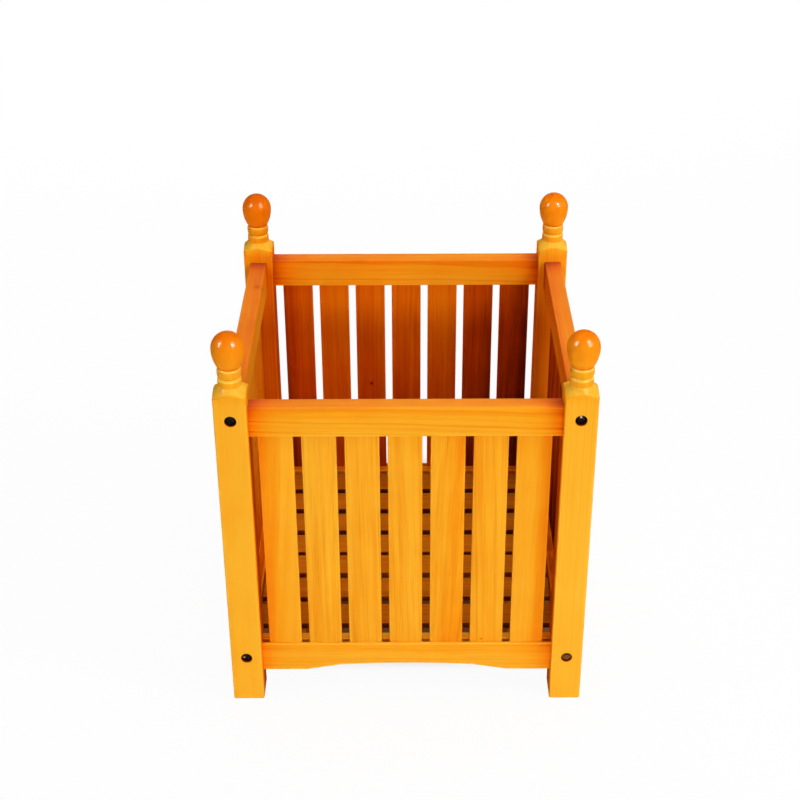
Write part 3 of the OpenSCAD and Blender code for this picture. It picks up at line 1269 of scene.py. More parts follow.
@dataclass
class CornerPosts:
    """Four square posts, each turned in one piece with two beads and an egg-shaped ball on top."""

    # The square part, and the turned parts from its crease upwards
    half: float = 22 * MM
    centre: float = 228 * MM
    arris: float = 2 * MM
    top: float = 499 * MM
    shoulder_h: float = 12.5 * MM
    shoulder_sweep: float = 45 * MM
    bead_r: float = 15.9 * MM
    bead_groove: float = 2 * MM
    bead_power: float = 4.0
    bead_start: float = -0.6
    bead_heights: tuple[float, float] = (12 * MM, 14 * MM)
    neck_r: float = 14.6 * MM
    ball_r: float = 21.7 * MM
    ball_power: float = 2.1
    ball_lower: float = 27 * MM
    ball_upper: float = 22.5 * MM
    # The counterbores, each in a square patch of the grid
    hole_heights: tuple[float, float] = (74.88 * MM, 467.04 * MM)
    hole_r: float = 8 * MM
    hole_deep: float = 7.5 * MM
    lip: float = 0.35 * MM
    patch_half: float = 11 * MM
    # The grid: points on a face, in a corner and in half a patch, and rows between the patches
    face_steps: int = 20
    arris_steps: int = 5
    patch_columns: int = 6
    between: tuple[float, float] = (200 * MM, 330 * MM)
    under_top: float = 8 * MM
    # Extra stain, with painted shade in the crease, the grooves and the holes, on the inner faces
    # and on the ball's upper part, and a painted highlight on the ledges
    face_stain: float = 0.04
    face_reach: float = 60 * MM
    crease_stain: float = 0.10
    shoulder_stain: float = -0.10
    bead_stain: float = 0.10
    groove_stain: float = 0.2
    groove_share: float = 0.2
    groove_under: float = -0.8
    ledge_stain: float = -0.26
    ledge_over: float = 0.6
    ball_stain: float = 0.18
    ball_rise: float = 0.06
    well_stain: float = 0.9
    inner_stain: float = 0.42
    inner_from: tuple[float, float] = (460 * MM, 482 * MM)
    inner_least: float = 0.4
    inner_front: float = 0.62
    rail_half: float = 12.5 * MM
    tones: dict[Corner, PostTone] = field(
        default_factory=lambda: {
            Corner.FRONT_LEFT: PostTone(),
            Corner.FRONT_RIGHT: PostTone(whole=-0.03, shoulder=-0.03),
            Corner.BACK_LEFT: PostTone(whole=0.10, shoulder=-0.02),
            Corner.BACK_RIGHT: PostTone(shoulder=-0.06),
        }
    )

    @property
    def bead_z(self) -> float:
        """Height of the lower bead's foot."""
        return self.top + self.shoulder_h

    @property
    def ball_z(self) -> float:
        """Height of the ball's foot."""
        return self.bead_z + sum(self.bead_heights)

    def _columns(self) -> tuple[Array, Array]:
        """Directions round the post.

        Returns:
            Angle and distance from the axis of each point of the rounded square, from the middle
            of the -Y face against the clock. On a face the angles are even; on a corner the
            points follow the small arc.
        """
        flat = self.half - self.arris
        edge = math.atan2(flat, self.half)
        slope = np.tan(np.linspace(-edge, edge, self.face_steps + 1))
        face = self.half * np.stack([np.ones_like(slope), slope], axis=1)
        corner = arc((flat, flat), self.arris, 0, 90, self.arris_steps)[1:-1]
        quarter = np.concatenate([face, corner])
        turns = np.radians(-90.0 + 90.0 * np.arange(4))
        spin = np.stack([np.cos(turns), -np.sin(turns), np.sin(turns), np.cos(turns)], axis=1)
        ring = np.einsum("tij,nj->tni", spin.reshape(4, 2, 2), quarter).reshape(-1, 2)
        x, y = np.roll(ring, -(self.face_steps // 2), axis=0).T
        return np.arctan2(y, x), np.hypot(x, y)

    def _sweep_centre(self) -> tuple[float, float]:
        """Centre of the hollow sweep that leads from the post's corner to the lower bead.

        Returns:
            Its distance from the axis and its height: from the middle of the sweep's chord, at
            right angles to the chord, by the leg that the sweep's radius and half the chord give.
        """
        corner = self.half * math.sqrt(2)
        start = self.bead_r - self.bead_groove * abs(self.bead_start) ** self.bead_power
        run = corner - start
        lean = math.atan2(self.shoulder_h, run)
        reach = math.sqrt(self.shoulder_sweep**2 - (run**2 + self.shoulder_h**2) / 4)
        radius = corner - run / 2 + reach * math.sin(lean)
        return radius, self.top + self.shoulder_h / 2 + reach * math.cos(lean)

    def _foot_rows(self, square: Array) -> tuple[Array, Array, Array]:
        """The rounded foot: a quarter of a circle of the arris's radius.

        Args:
            square: Distance of the rounded square from the axis in each direction.

        Returns:
            Height and distance from the axis of each row, and its stain.
        """
        angle = np.radians(np.linspace(0, 90, 5))[:, None]
        height = self.arris * (1 - np.cos(angle))
        radius = square * (1 - self.arris * (1 - np.sin(angle)) / self.half)
        return height, radius, np.zeros(len(angle))

    def _square_rows(self, square: Array) -> tuple[Array, Array, Array]:
        """The square part, whose rows are close together only round the holes.

        Args:
            square: Distance of the rounded square from the axis in each direction.

        Returns:
            Height and distance from the axis of each row, and its stain, which grows evenly to
            the top.
        """
        patch = np.linspace(-1, 1, 2 * self.patch_columns + 1) * self.patch_half
        low, high = self.hole_heights
        levels = [patch + low, self.between, patch + high, [self.top - self.under_top]]
        height = np.concatenate(levels)
        near_top = np.clip(1 - (self.top - height) / self.face_reach, 0, 1)
        return height[:, None], square[None], near_top * self.face_stain

    def _shoulder_rows(self, square: Array) -> tuple[Array, Array, Array]:
        """The hollow shoulder, from the crease where it meets the square part to the beads.

        The distance from the axis is that of the sweep's centre less the leg that the sweep's
        radius and the height from its centre give. The crease is where it equals the square's.

        Args:
            square: Distance of the rounded square from the axis in each direction.

        Returns:
            Height and distance from the axis of each row, and its stain, with painted shade on the
            crease.
        """
        centre_r, centre_z = self._sweep_centre()
        crease = centre_z - np.sqrt(self.shoulder_sweep**2 - (square - centre_r) ** 2)
        share = np.linspace(0, 1, 9)
        height = crease + (self.bead_z - crease) * share[:, None]
        radius = centre_r - np.sqrt(self.shoulder_sweep**2 - (height - centre_z) ** 2)
        return height, radius, np.where(share > 0, self.shoulder_stain, self.crease_stain)

    def _bead_rows(self, z: float, tall: float, first: float) -> tuple[Array, Array, Array]:
        """A bead: its radius less its groove times a power of a share from first to 1.

        Args:
            z: Height of its foot.
            tall: Its height.
            first: Share at its foot, -1 for a whole bead.

        Returns:
            Height and distance from the axis of each row, and its stain, with a painted highlight
            on the ledge on top of the bead and painted shade in the groove under it.
        """
        step = np.linspace(0, 1, 13)[1:, None]
        share = first + (1 - first) * step
        radius = self.bead_r - self.bead_groove * np.abs(share) ** self.bead_power
        # Painted highlight on each bead's ledge and painted shade in its groove
        ledge = np.where(share > self.ledge_over, self.ledge_stain, 0.0)
        groove = np.where(share < self.groove_under, self.groove_stain, 0.0)
        return z + tall * step, radius, (self.bead_stain + ledge + groove)[:, 0]

    def _ball_rows(self) -> tuple[Array, Array, Array]:
        """The ball without its crown.

        The lower part is the ball's radius less a power of the distance under its widest ring,
        and the dome is a quarter of an ellipse.

        Returns:
            Height and distance from the axis of each row, and its stain: the ball's own, with
            painted shade that grows with the height and more painted shade in the groove at the
            foot.
        """
        under = 1 - np.linspace(0, 1, 19)[:, None]
        climb = np.radians(np.linspace(0, 90, 19)[1:-1])[:, None]
        lower_r = self.ball_r - (self.ball_r - self.neck_r) * under**self.ball_power
        share = np.concatenate([1 - under, 1 + self.ball_upper / self.ball_lower * np.sin(climb)])
        neck = np.clip(1 - share / self.groove_share, 0, 1) * self.groove_stain
        stain = self.ball_stain + self.ball_rise * share + neck
        radius = np.concatenate([lower_r, self.ball_r * np.cos(climb)])
        return self.ball_z + self.ball_lower * share, radius, stain[:, 0]

    def _rows(self, square: Array) -> tuple[Array, Array, Array]:
        """Heights and distances of all rows but the crown.

        Args:
            square: Distance of the rounded square from the axis in each direction.

        Returns:
            Height and distance (rows, columns), and the stain of each row.
        """
        lower, upper = self.bead_heights
        blocks = [
            self._foot_rows(square),
            self._square_rows(square),
            self._shoulder_rows(square),
            self._bead_rows(self.bead_z, lower, self.bead_start),
            self._bead_rows(self.bead_z + lower, upper, -1.0),
            self._ball_rows(),
        ]
        height, radius = (
            np.concatenate(
                [np.broadcast_to(block[axis], (len(block[2]), len(square))) for block in blocks]
            )
            for axis in (0, 1)
        )
        return height, radius, np.concatenate([block[2] for block in blocks])

    def _rim(self, x: Array, y: Array, height: Array) -> Array:
        """Distance to the nearest long edge, which only the square part has.

        Args:
            x: First coordinate across the post.
            y: Second coordinate across the post.
            height: Height along the post.

        Returns:
            What is left from the smaller of both coordinates to where the edge's arc starts, and
            0 on the arc.
        """
        flat = self.half - self.arris
        inner = np.minimum(np.abs(x), np.abs(y))
        rim = np.where(height > self.arris, np.maximum(flat - inner, 0.0), NO_RIM)
        rim = np.where(inner > flat - TINY, 0.0, rim)
        return np.where(height >= self.top, NO_RIM, rim)

    def _skin(self) -> Skin:
        """Works out a post whose inner faces look to +X and +Y, with its holes in the -Y face.

        Returns:
            The surface about the post's axis.
        """
        angle, square = self._columns()
        height, radius, stain = self._rows(square)
        rows, columns = height.shape
        x, y = radius * np.cos(angle), radius * np.sin(angle)
        crown = [[0.0, 0.0, self.ball_z + self.ball_lower + self.ball_upper]]
        points = np.concatenate([np.stack([x, y, height], axis=-1).reshape(-1, 3), crown])
        quads = grid_quads(rows, columns)
        keep = np.ones(quads.shape[:2], bool)
        around = np.arange(-self.patch_columns, self.patch_columns) % columns
        wells = []
        for z in self.hole_heights:
            first = int(np.argmin(np.abs(height[:, 0] - (z - self.patch_half))))
            keep[np.ix_(np.arange(first, first + 2 * self.patch_columns), around)] = False
            wells.append(self._well(points, columns, first, z))
        skin = Skin(
            points=points,
            own=points.copy(),
            rim=np.append(self._rim(x, y, height), NO_RIM),
            reach=np.full(len(points), NO_END),
            stain=np.append(np.repeat(stain, columns), stain[-1]),
            quads=quads[keep],
            caps=end_caps(rows, columns)[:1] + fan((rows - 1) * columns, columns, rows * columns),
        )
        for edge, well in wells:
            inside = skin.count + np.arange(len(edge))
            skin = skin.join(well)
            link = np.stack([edge, np.roll(edge, -1), np.roll(inside, -1), inside], axis=1)
            skin.quads = np.concatenate([skin.quads, link])
        return skin

    def _well(self, points: Array, columns: int, first: int, z: float) -> tuple[Array, Skin]:
        """A counterbore in the -Y face.

        Rings of points lead from the rectangle of grid points round the hole to a circle with an
        eased lip, down the wall and in to the middle of the seat.

        Args:
            points: The post's grid points.
            columns: Points in a row of the grid.
            first: Row of the rectangle's lower edge.
            z: Height of the hole.

        Returns:
            The rectangle's point numbers in order, and the surface inside it.
        """
        k = self.patch_columns
        side, rise = np.arange(-k, k), np.arange(2 * k)
        edge = np.concatenate(
            [
                first * columns + side % columns,
                (first + rise) * columns + k,
                (first + 2 * k) * columns + (-side) % columns,
                (first + 2 * k - rise) * columns + (-k) % columns,
            ]
        )
        outer = points[edge]
        turn = np.arctan2(outer[:, 2] - z, outer[:, 0])
        circle = np.stack([np.cos(turn), np.zeros_like(turn), np.sin(turn)], axis=1)
        middle = np.array([0.0, -self.half, z])
        r, deep, dark = self.hole_r, self.hole_deep, self.well_stain
        # Radius, depth, distance to the edge and stain of each ring, from the face to the seat; the
        # stain in the hole is painted shade
        rings = np.array(
            [
                (r + self.lip, 0.0, 2 * MM, 0.0),
                (r + 0.13 * MM, 0.07 * MM, 0.0, 0.05),
                (r, 0.32 * MM, 0.8 * MM, 0.3),
                (r, 4 * MM, 4 * MM, dark),
                (r, deep, NO_RIM, dark),
                (3 * MM, deep, NO_RIM, dark),
            ]
        )
        halfway = (outer + circle * (r + self.lip) + middle) / 2
        cloud = circle * rings[:, 0, None, None] + middle + ALONG_Y * rings[:, 1, None, None]
        seat = middle + ALONG_Y * deep
        everything = np.concatenate([halfway, cloud.reshape(-1, 3), [seat]])
        count, size = len(rings) + 1, len(edge)
        return edge, Skin(
            points=everything,
            own=everything.copy(),
            rim=np.append(np.repeat([8 * MM, *rings[:, 2]], size), NO_RIM),
            reach=np.full(len(everything), NO_END),
            stain=np.append(np.repeat([0.0, *rings[:, 3]], size), dark),
            quads=grid_quads(count, size).reshape(-1, 4),
            caps=fan((count - 1) * size, size, count * size),
        )

    def _inner_stain(self, x: Array, y: Array, height: Array) -> Array:
        """Painted shade on the square part's faces that look into the planter, +X and +Y here.

        It is least above the rails and on the strip outside them, and less on the +Y face.

        Args:
            x: First coordinate across the post.
            y: Second coordinate across the post.
            height: Height along the post.

        Returns:
            The extra depth of stain.
        """
        inside = (np.maximum(x, y) > self.half - self.arris / 2) & (height < self.top)
        low, high = self.inner_from
        beside = np.clip((np.minimum(x, y) + self.rail_half + self.arris) / self.arris, 0, 1)
        share = np.clip((high - height) / (high - low), 0, 1) * beside
        gain = np.where(x > y, 1.0, self.inner_front) * self.inner_stain
        return np.where(inside, (self.inner_least + (1 - self.inner_least) * share) * gain, 0.0)

    def build(self, shop: Workshop) -> None:
        """Makes the four posts.

        Args:
            shop: The workshop that makes the pieces.
        """
        chance = np.random.default_rng(41)
        blank = self._skin()
        height = blank.own[:, 2]
        blank.tint(self._inner_stain(*blank.own.T))
        shoulder = (height > self.top + 1 * MM) & (height < self.bead_z)
        for corner in Corner:
            tone = self.tones[corner]
            x, y = corner.value
            shift = np.array([x * self.centre, y * self.centre, 0.0])
            skin = replace(blank, points=blank.points * np.array([-x, -y, 1.0]) + shift)
            skin.tint(np.where(shoulder, tone.shoulder, tone.whole))
            node = f"{corner.word}_post"
            cut = LogPlace.drawn(chance, 60 * MM)
            shop.piece(f"{node}_turned", skin, POST_FINISH, node, cut)


@dataclass
class Panels:
    """Four sides, each a top rail, an arched bottom rail and seven slats in grooves in them."""

    rail_half: float = 12.5 * MM
    distance: float = 228 * MM
    length: float = 412 * MM
    rail_round: float = 2 * MM
    top_rail: tuple[float, float] = (438 * MM, 482 * MM)
    bottom_rail: tuple[float, float] = (46 * MM, 94 * MM)
    groove: tuple[float, float] = (-9.6 * MM, -0.4 * MM)
    groove_deep: float = 10 * MM
    # The arch, and the places of the rows along a bottom rail from the middle to the end
    arch_half: float = 143 * MM
    arch_rise: float = 11.5 * MM
    arch_slope: float = 10.2
    arch_sweep: float = 1.6
    sweep_half: float = 94.7 * MM
    slope_rows: tuple[float, ...] = (105 * MM, 118 * MM, 131 * MM)
    straight_row: float = 170 * MM
    # The slats
    slat_size: tuple[float, float] = (46 * MM, 9 * MM)
    slat_places: tuple[float, ...] = (-172, -115, -58, -1, 56, 113, 170)
    slat_deep: float = -5 * MM
    slat_z: tuple[float, float] = (84 * MM, 447.5 * MM)
    slat_round: float = 1 * MM
    # Extra stain of the rails, painted shade on their top faces, on their inner faces and on the
    # flanks' bottom rails
    upper_stain: float = 0.13
    edge_stain: float = 0.05
    edge_share: float = 0.97
    lower_edge_stain: float = -0.30
    flank_lower_stain: float = 0.18
    flank_edge_stain: float = 0.07
    inner_stain: float = 0.09
    flank_inner_stain: dict[Side, float] = field(
        default_factory=lambda: {Side.LEFT: -0.01, Side.RIGHT: 0.12}
    )
    # Painted shade on the slats, and painted light on the left flank's inner faces
    slat_inner_stain: float = 0.25
    slat_low_stain: float = 0.20
    flank_slat_stain: dict[Side, float] = field(
        default_factory=lambda: {Side.LEFT: -0.15, Side.RIGHT: 0.20}
    )
    end_slats: float = 150 * MM
    end_slat_stain: float = 0.12

    @staticmethod
    def _turn(side: Side) -> Array:
        """Turns the front panel's frame to a side."""
        cos, sin = ((1, 0), (0, 1), (-1, 0), (0, -1))[side.value]
        return np.array([[cos, -sin, 0.0], [sin, cos, 0.0], [0.0, 0.0, 1.0]])

    def _place(self, skin: Skin, side: Side) -> Skin:
        """Moves a surface from under the middle of the front panel's rails to a side."""
        moved = (skin.points - ALONG_Y * self.distance) @ self._turn(side).T
        return replace(skin, points=moved)

    def _outline(self, low: float, high: float, arched: bool) -> Outline:
        """Outline across a rail, depth against height, with its groove.

        Args:
            low: Lowest height.
            high: Highest height.
            arched: True for a bottom rail, whose groove is in its upper edge. A top rail's groove
                is in its lower edge.

        Returns:
            The outline, against the clock from the lower outer corner.
        """
        r = self.rail_round
        d, floor, roof = self.rail_half - r, low + r, high - r
        first, last = self.groove
        edge, bottom = (high, high - self.groove_deep) if arched else (low, low + self.groove_deep)
        cut = np.array([[first, edge], [first, bottom], [last, bottom], [last, edge]])
        corners = [
            (arc((-d, floor), r, 180, 270, 5), arched),
            (arc((d, floor), r, 270, 360, 5), True),
            (arc((d, roof), r, 0, 90, 5), True),
            (arc((-d, roof), r, 90, 180, 5), True),
        ]
        if arched:
            corners.insert(3, (cut[::-1], False))
        else:
            corners.insert(1, (cut, True))
        return Outline.through(corners)

    def _arch(self, x: Array) -> Array:
        """Lift of a bottom rail's underside.

        Args:
            x: Place along the rail from its middle.

        Returns:
            The lower of a flat circular sweep and a slope from each end of the arch, and 0
            outside.
        """
        sweep = self.arch_rise - self.arch_sweep + np.sqrt(self.arch_sweep**2 - x**2)
        slope = (self.arch_half - np.abs(x)) * math.tan(math.radians(self.arch_slope))
        return np.maximum(np.minimum(sweep, slope), 0.0)

    def _row_places(self, arched: bool) -> Array:
        """Places of the rows along a rail, close together only over an arch's sweep.

        Args:
            arched: True for a bottom rail.

        Returns:
            The places from the middle of the rail, from one end to the other.
        """
        half = self.length / 2
        if not arched:
            return np.linspace(-half, half, 5)
        sweep = np.linspace(0, self.sweep_half, 15)
        outside = [*self.slope_rows, self.arch_half, self.straight_row, half]
        right = np.concatenate([sweep, outside])
        return np.concatenate([-right[:0:-1], right])

    def _rail(self, low: float, high: float, arched: bool) -> Skin:
        """Carries the outline along a rail.

        Args:
            low: Lowest height.
            high: Highest height.
            arched: True for a bottom rail.

        Returns:
            The surface under the middle of the panel, with its length along X.
        """
        outline = self._outline(low, high, arched)
        x = self._row_places(arched)
        rows, columns = len(x), len(outline.points)
        depth = np.broadcast_to(outline.points[:, 0], (rows, columns))
        height = np.broadcast_to(outline.points[:, 1], (rows, columns)).copy()
        if arched:
            under = outline.points[:, 1] < low + self.rail_round + TINY
            height[:, under] += self._arch(x)[:, None]
        along = np.broadcast_to(x[:, None], (rows, columns))
        middle = (low + high) / 2
        return Skin(
            points=np.stack([along, depth, height], axis=-1).reshape(-1, 3),
            own=np.stack([height - middle, depth, along], axis=-1).reshape(-1, 3),
            rim=np.tile(outline.rim, rows),
            reach=np.repeat(self.length / 2 - np.abs(x), columns),
            stain=np.tile(self._rail_stain(outline, low, high), rows),
            quads=grid_quads(rows, columns).reshape(-1, 4),
            caps=end_caps(rows, columns),
        )

    def _rail_stain(self, outline: Outline, low: float, high: float) -> Array:
        """Extra stain round a rail, with painted shade in it.

        Args:
            outline: The rail's outline.
            low: Lowest height.
            high: Highest height.

        Returns:
            A share that grows with the height above the middle, with more on the top face and on
            the inner face as painted shade.
        """
        depth, height = outline.points.T
        rise = (height - low) / (high - low)
        upper = np.clip(rise - 0.5, 0, 1) * 2 * self.upper_stain
        inner = np.clip(depth / self.rail_half, 0, 1) * self.inner_stain
        return upper + inner + (rise > self.edge_share) * self.edge_stain

    def _build_rail(
        self, shop: Workshop, side: Side, level: Level, chance: np.random.Generator
    ) -> None:
        """Makes one rail.

        Args:
            shop: The workshop that makes the piece.
            side: The rail's side.
            level: The rail's level.
            chance: Source of its place in its log.
        """
        arched = level is Level.BOTTOM
        low, high = self.bottom_rail if arched else self.top_rail
        skin = self._place(self._rail(low, high, arched), side)
        x, _, z = skin.points.T
        depth = skin.own[:, 1]
        # Painted shade on the flanks' bottom rails and on the flank top rails' top and inner faces;
        # the paler top of the front's bottom rail is unstained
        if arched and side.is_flank:
            skin.tint((depth > self.slat_deep) * self.flank_lower_stain)
        elif arched and side is Side.FRONT:
            skin.tint(((z > high - 0.1 * MM) & (depth > 0)) * self.lower_edge_stain)
        elif side.is_flank:
            inner_face = np.abs(x) < self.distance - self.rail_half + 1 * MM
            skin.tint((z > high - 1 * MM) * self.flank_edge_stain)
            skin.tint(inner_face * self.flank_inner_stain[side])
        node = f"{side.word}_{level.word}_rail"
        cut = LogPlace.drawn(chance, 70 * MM)
        finish = LOWER_RAIL_FINISH if arched else RAIL_FINISH
        grain = self._turn(side) @ ALONG_X
        shop.piece(f"{node}_planed", skin, finish, node, cut, grain)

    def _slat(self, place: float) -> Skin:
        """Works out one slat of the front panel.

        Args:
            place: Place of its middle along the rails.

        Returns:
            The surface under the middle of the panel. Its inner face has painted shade, more so
            towards the floor, and an end slat has painted shade towards its post.
        """
        low, high = self.slat_z
        skin = Bar(Outline.rounded(self.slat_size, self.slat_round), high - low).skin()
        x, depth, along = skin.points.T
        if abs(place) > self.end_slats:
            near_post = np.clip(x * np.sign(place) / (self.slat_size[0] / 2), 0, 1)
            skin.tint(near_post * self.end_slat_stain)
        lowness = 0.5 - along / (high - low)
        skin.tint((depth > 0) * (self.slat_inner_stain + lowness * self.slat_low_stain))
        skin.points = skin.points + np.array([place, self.slat_deep, (low + high) / 2])
        skin.reach = np.maximum(skin.reach - self.groove_deep, 0.0)
        return skin

    def build(self, shop: Workshop) -> None:
        """Makes the rails and slats of the four sides.

        Args:
            shop: The workshop that makes the pieces.
        """
        chance = np.random.default_rng(7)
        slats = SlatChoice()
        for side in Side:
            for level in (Level.TOP, Level.BOTTOM):
                self._build_rail(shop, side, level, chance)
            for number, place in enumerate(self.slat_places, 1):
                skin = self._place(self._slat(place * MM), side)
                cut, stain = slats.pick(side, number, chance)
                # Painted light on the left flank's inner faces and painted shade on the right
                # flank's
                inner = (skin.own[:, 1] > 0) * self.flank_slat_stain.get(side, 0.0)
                skin.tint(stain + inner)
                node = f"{side.word}_slat_{number}"
                shop.piece(f"{node}_planed", skin, SLAT_FINISH, node, cut)


@dataclass
class SlatChoice:
    """Which board each slat was cut from, and how deep its stain went.

    The slats of a side are numbered from the left, seen from outside.
    """

    front: tuple[tuple[LogPlace, float], ...] = (
        (LogPlace(58 * MM, 8 * MM, -3.8, 0.3, 3.1, 51 * MM, 0.15), 0.02),
        (LogPlace(72 * MM, 12 * MM, -0.4, 0.8, 9.4), 0.0),
        (LogPlace(-70 * MM, 22 * MM, 0.7, -0.5, 14.2), 0.0),
        (LogPlace(-58 * MM, 44 * MM, 1.5, -0.6, 17.7), 0.01),
        (LogPlace(-48 * MM, 54 * MM, -2.6, 1.2, 21.3, 66 * MM), 0.02),
        (LogPlace(65 * MM, 26 * MM, 1.4, 0.4, 27.9), 0.02),
        (LogPlace(-55 * MM, 16 * MM, -0.8, 0.7, 33.5, 47 * MM, 0.4), 0.04),
    )
    # Each back slat's stain: partly its own tone, partly painted shade that fell on the back
    back: tuple[float, ...] = (0.24, 0.21, -0.02, 0.07, 0.05, 0.0, 0.11)
    flank: tuple[float, float] = (-0.02, 0.08)

    def pick(
        self, side: Side, number: int, chance: np.random.Generator
    ) -> tuple[LogPlace, float]:
        """Chooses a slat's place in a log and its stain.

        Args:
            side: The slat's side.
            number: The slat, from 1.
            chance: Source of the places that aren't chosen, and of the flanks' stains. It gives
                as many numbers for every slat.

        Returns:
            The place in the log and the extra depth of stain.
        """
        drawn = LogPlace.drawn(chance, 45 * MM)
        shade = float(chance.uniform(*self.flank))
        if side is Side.FRONT:
            return self.front[number - 1]
        return drawn, self.back[number - 1] if side is Side.BACK else shade


@dataclass
class FloorDeck:
    """Seven floor boards with uneven gaps, nailed to two bearers."""

    board_size: tuple[float, float] = (46 * MM, 9 * MM)
    board_length: float = 427 * MM
    board_places: tuple[float, ...] = (182, 123.684, 63.316, 5, -49.21, -108.55, -172)
    board_stains: tuple[float, ...] = (0.19, 0.17, 0.12, 0.07, 0.06, 0.13, 0.16)
    board_edge_stain: float = 0.38
    board_top: float = 94 * MM
    bearer_size: tuple[float, float] = (45 * MM, 20 * MM)
    bearer_length: float = 431 * MM
    bearer_x: float = 167.5 * MM
    bearer_stain: float = 0.06
    edge_round: float = 1 * MM
    nail_pitch: float = 24 * MM
    nail_r: float = 2.5 * MM
    nail_crown: float = 0.35 * MM
    nail_head: float = 1 * MM
    nail_length: float = 24 * MM
    nail_shank_r: float = 1.2 * MM
    nail_columns: int = 16

    def _boards(self, shop: Workshop, chance: np.random.Generator) -> None:
        """Makes the boards, whose length runs along X.

        Args:
            shop: The workshop that makes the pieces.
            chance: Source of their places in their logs.
        """
        wide, thick = self.board_size
        outline = Outline.rounded(self.board_size, self.edge_round)
        places = zip(self.board_places, self.board_stains)
        for number, (place, stain) in enumerate(places, 1):
            skin = Bar(outline, self.board_length, self.edge_round, stain).skin()
            # Painted shade on the boards' edges, which face the gaps between them
            on_edge = np.abs(skin.points[:, 0]) > wide / 2 - self.edge_round / 2
            skin.tint(on_edge * self.board_edge_stain)
            middle = np.array([0.0, place * MM, self.board_top - thick / 2])
            skin.points = skin.points[:, [2, 0, 1]] + middle
            node = f"floor_board_{number}"
            cut = LogPlace.drawn(chance)
            shop.piece(f"{node}_planed", skin, FLOOR_FINISH, node, cut, ALONG_X)

    def _bearers(self, shop: Workshop, chance: np.random.Generator) -> None:
        """Makes the bearers, whose length runs along Y.

        Args:
            shop: The workshop that makes the pieces.
            chance: Source of their places in their logs.
        """
        outline = Outline.rounded(self.bearer_size, self.edge_round)
        z = self.board_top - self.board_size[1] - self.bearer_size[1] / 2
        for word, sign in (("left", -1), ("right", 1)):
            skin = Bar(outline, self.bearer_length, self.edge_round, self.bearer_stain).skin()
            skin.points = skin.points[:, [0, 2, 1]] + np.array([sign * self.bearer_x, 0.0, z])
            node = f"{word}_bearer"
            cut = LogPlace.drawn(chance)
            shop.piece(f"{node}_planed", skin, FLOOR_FINISH, node, cut, ALONG_Y)

    def _nails(self, shop: Workshop) -> None:
        """Makes all the nails as one piece: a shank under a thin head with a low crown.

        Args:
            shop: The workshop that makes the piece.
        """
        climb = np.radians(np.linspace(0, 90, 5))[:-1]
        shank = [(self.nail_shank_r, -self.nail_length), (self.nail_shank_r, -self.nail_head)]
        crown = np.stack([self.nail_r * np.cos(climb), self.nail_crown * np.sin(climb)], axis=1)
        half = np.concatenate([shank, [(self.nail_r, -self.nail_head)], crown])
        one = lathe(half, self.nail_columns, self.nail_crown)
        pair = np.array([-1, 1])
        y = np.add.outer(np.array(self.board_places) * MM, pair * self.nail_pitch / 2).ravel()
        grid = np.meshgrid(pair * self.bearer_x, y, [self.board_top])
        nails = repeated(one, np.array(grid).reshape(3, -1).T)
        shop.piece("floor_nail_set", nails, NAIL_FINISH, "floor_nails")

    def build(self, shop: Workshop) -> None:
        """Makes the floor.

        Args:
            shop: The workshop that makes the pieces.
        """
        chance = np.random.default_rng(23)
        self._boards(shop, chance)
        self._bearers(shop, chance)
        self._nails(shop)


def lathe(half: Array, columns: int, crown: float) -> Skin:
    """Turns half an outline round the Z axis.

    Args:
        half: Radius and height of each row, from the lowest up.
        columns: Points in a row.
        crown: Height of the point that closes the top.

    Returns:
        The surface: radius times (cosine, sine) of an even angle, at each row's height.
    """
    angle = np.linspace(0, FULL_TURN, columns, endpoint=False)
    radius, height = half[:, :1], np.broadcast_to(half[:, 1:], (len(half), columns))
    cloud = np.stack([radius * np.cos(angle), radius * np.sin(angle), height], axis=-1)
    points = np.concatenate([cloud.reshape(-1, 3), [[0.0, 0.0, crown]]])
    tip = len(points) - 1
    caps = end_caps(len(half), columns)[:1] + fan(tip - columns, columns, tip)
    return Skin.plain(points, grid_quads(len(half), columns).reshape(-1, 4), caps)


def repeated(one: Skin, places: Array) -> Skin:
    """Copies a surface to several places.

    Args:
        one: The surface.
        places: Where its origin goes (n, 3).

    Returns:
        All the copies in one surface.
    """
    points = (one.points[None] + places[:, None]).reshape(-1, 3)
    steps = np.arange(len(places)) * one.count
    quads = (one.quads[None] + steps[:, None, None]).reshape(-1, 4)
    return Skin.plain(points, quads, [cap + step for step in steps for cap in one.caps])


@dataclass(frozen=True)
class Chip:
    """A painted glint: a bright spot on a bolt's head, so far from its middle along X and upwards.
    """

    corner: Corner
    level: Level
    across: float
    up: float


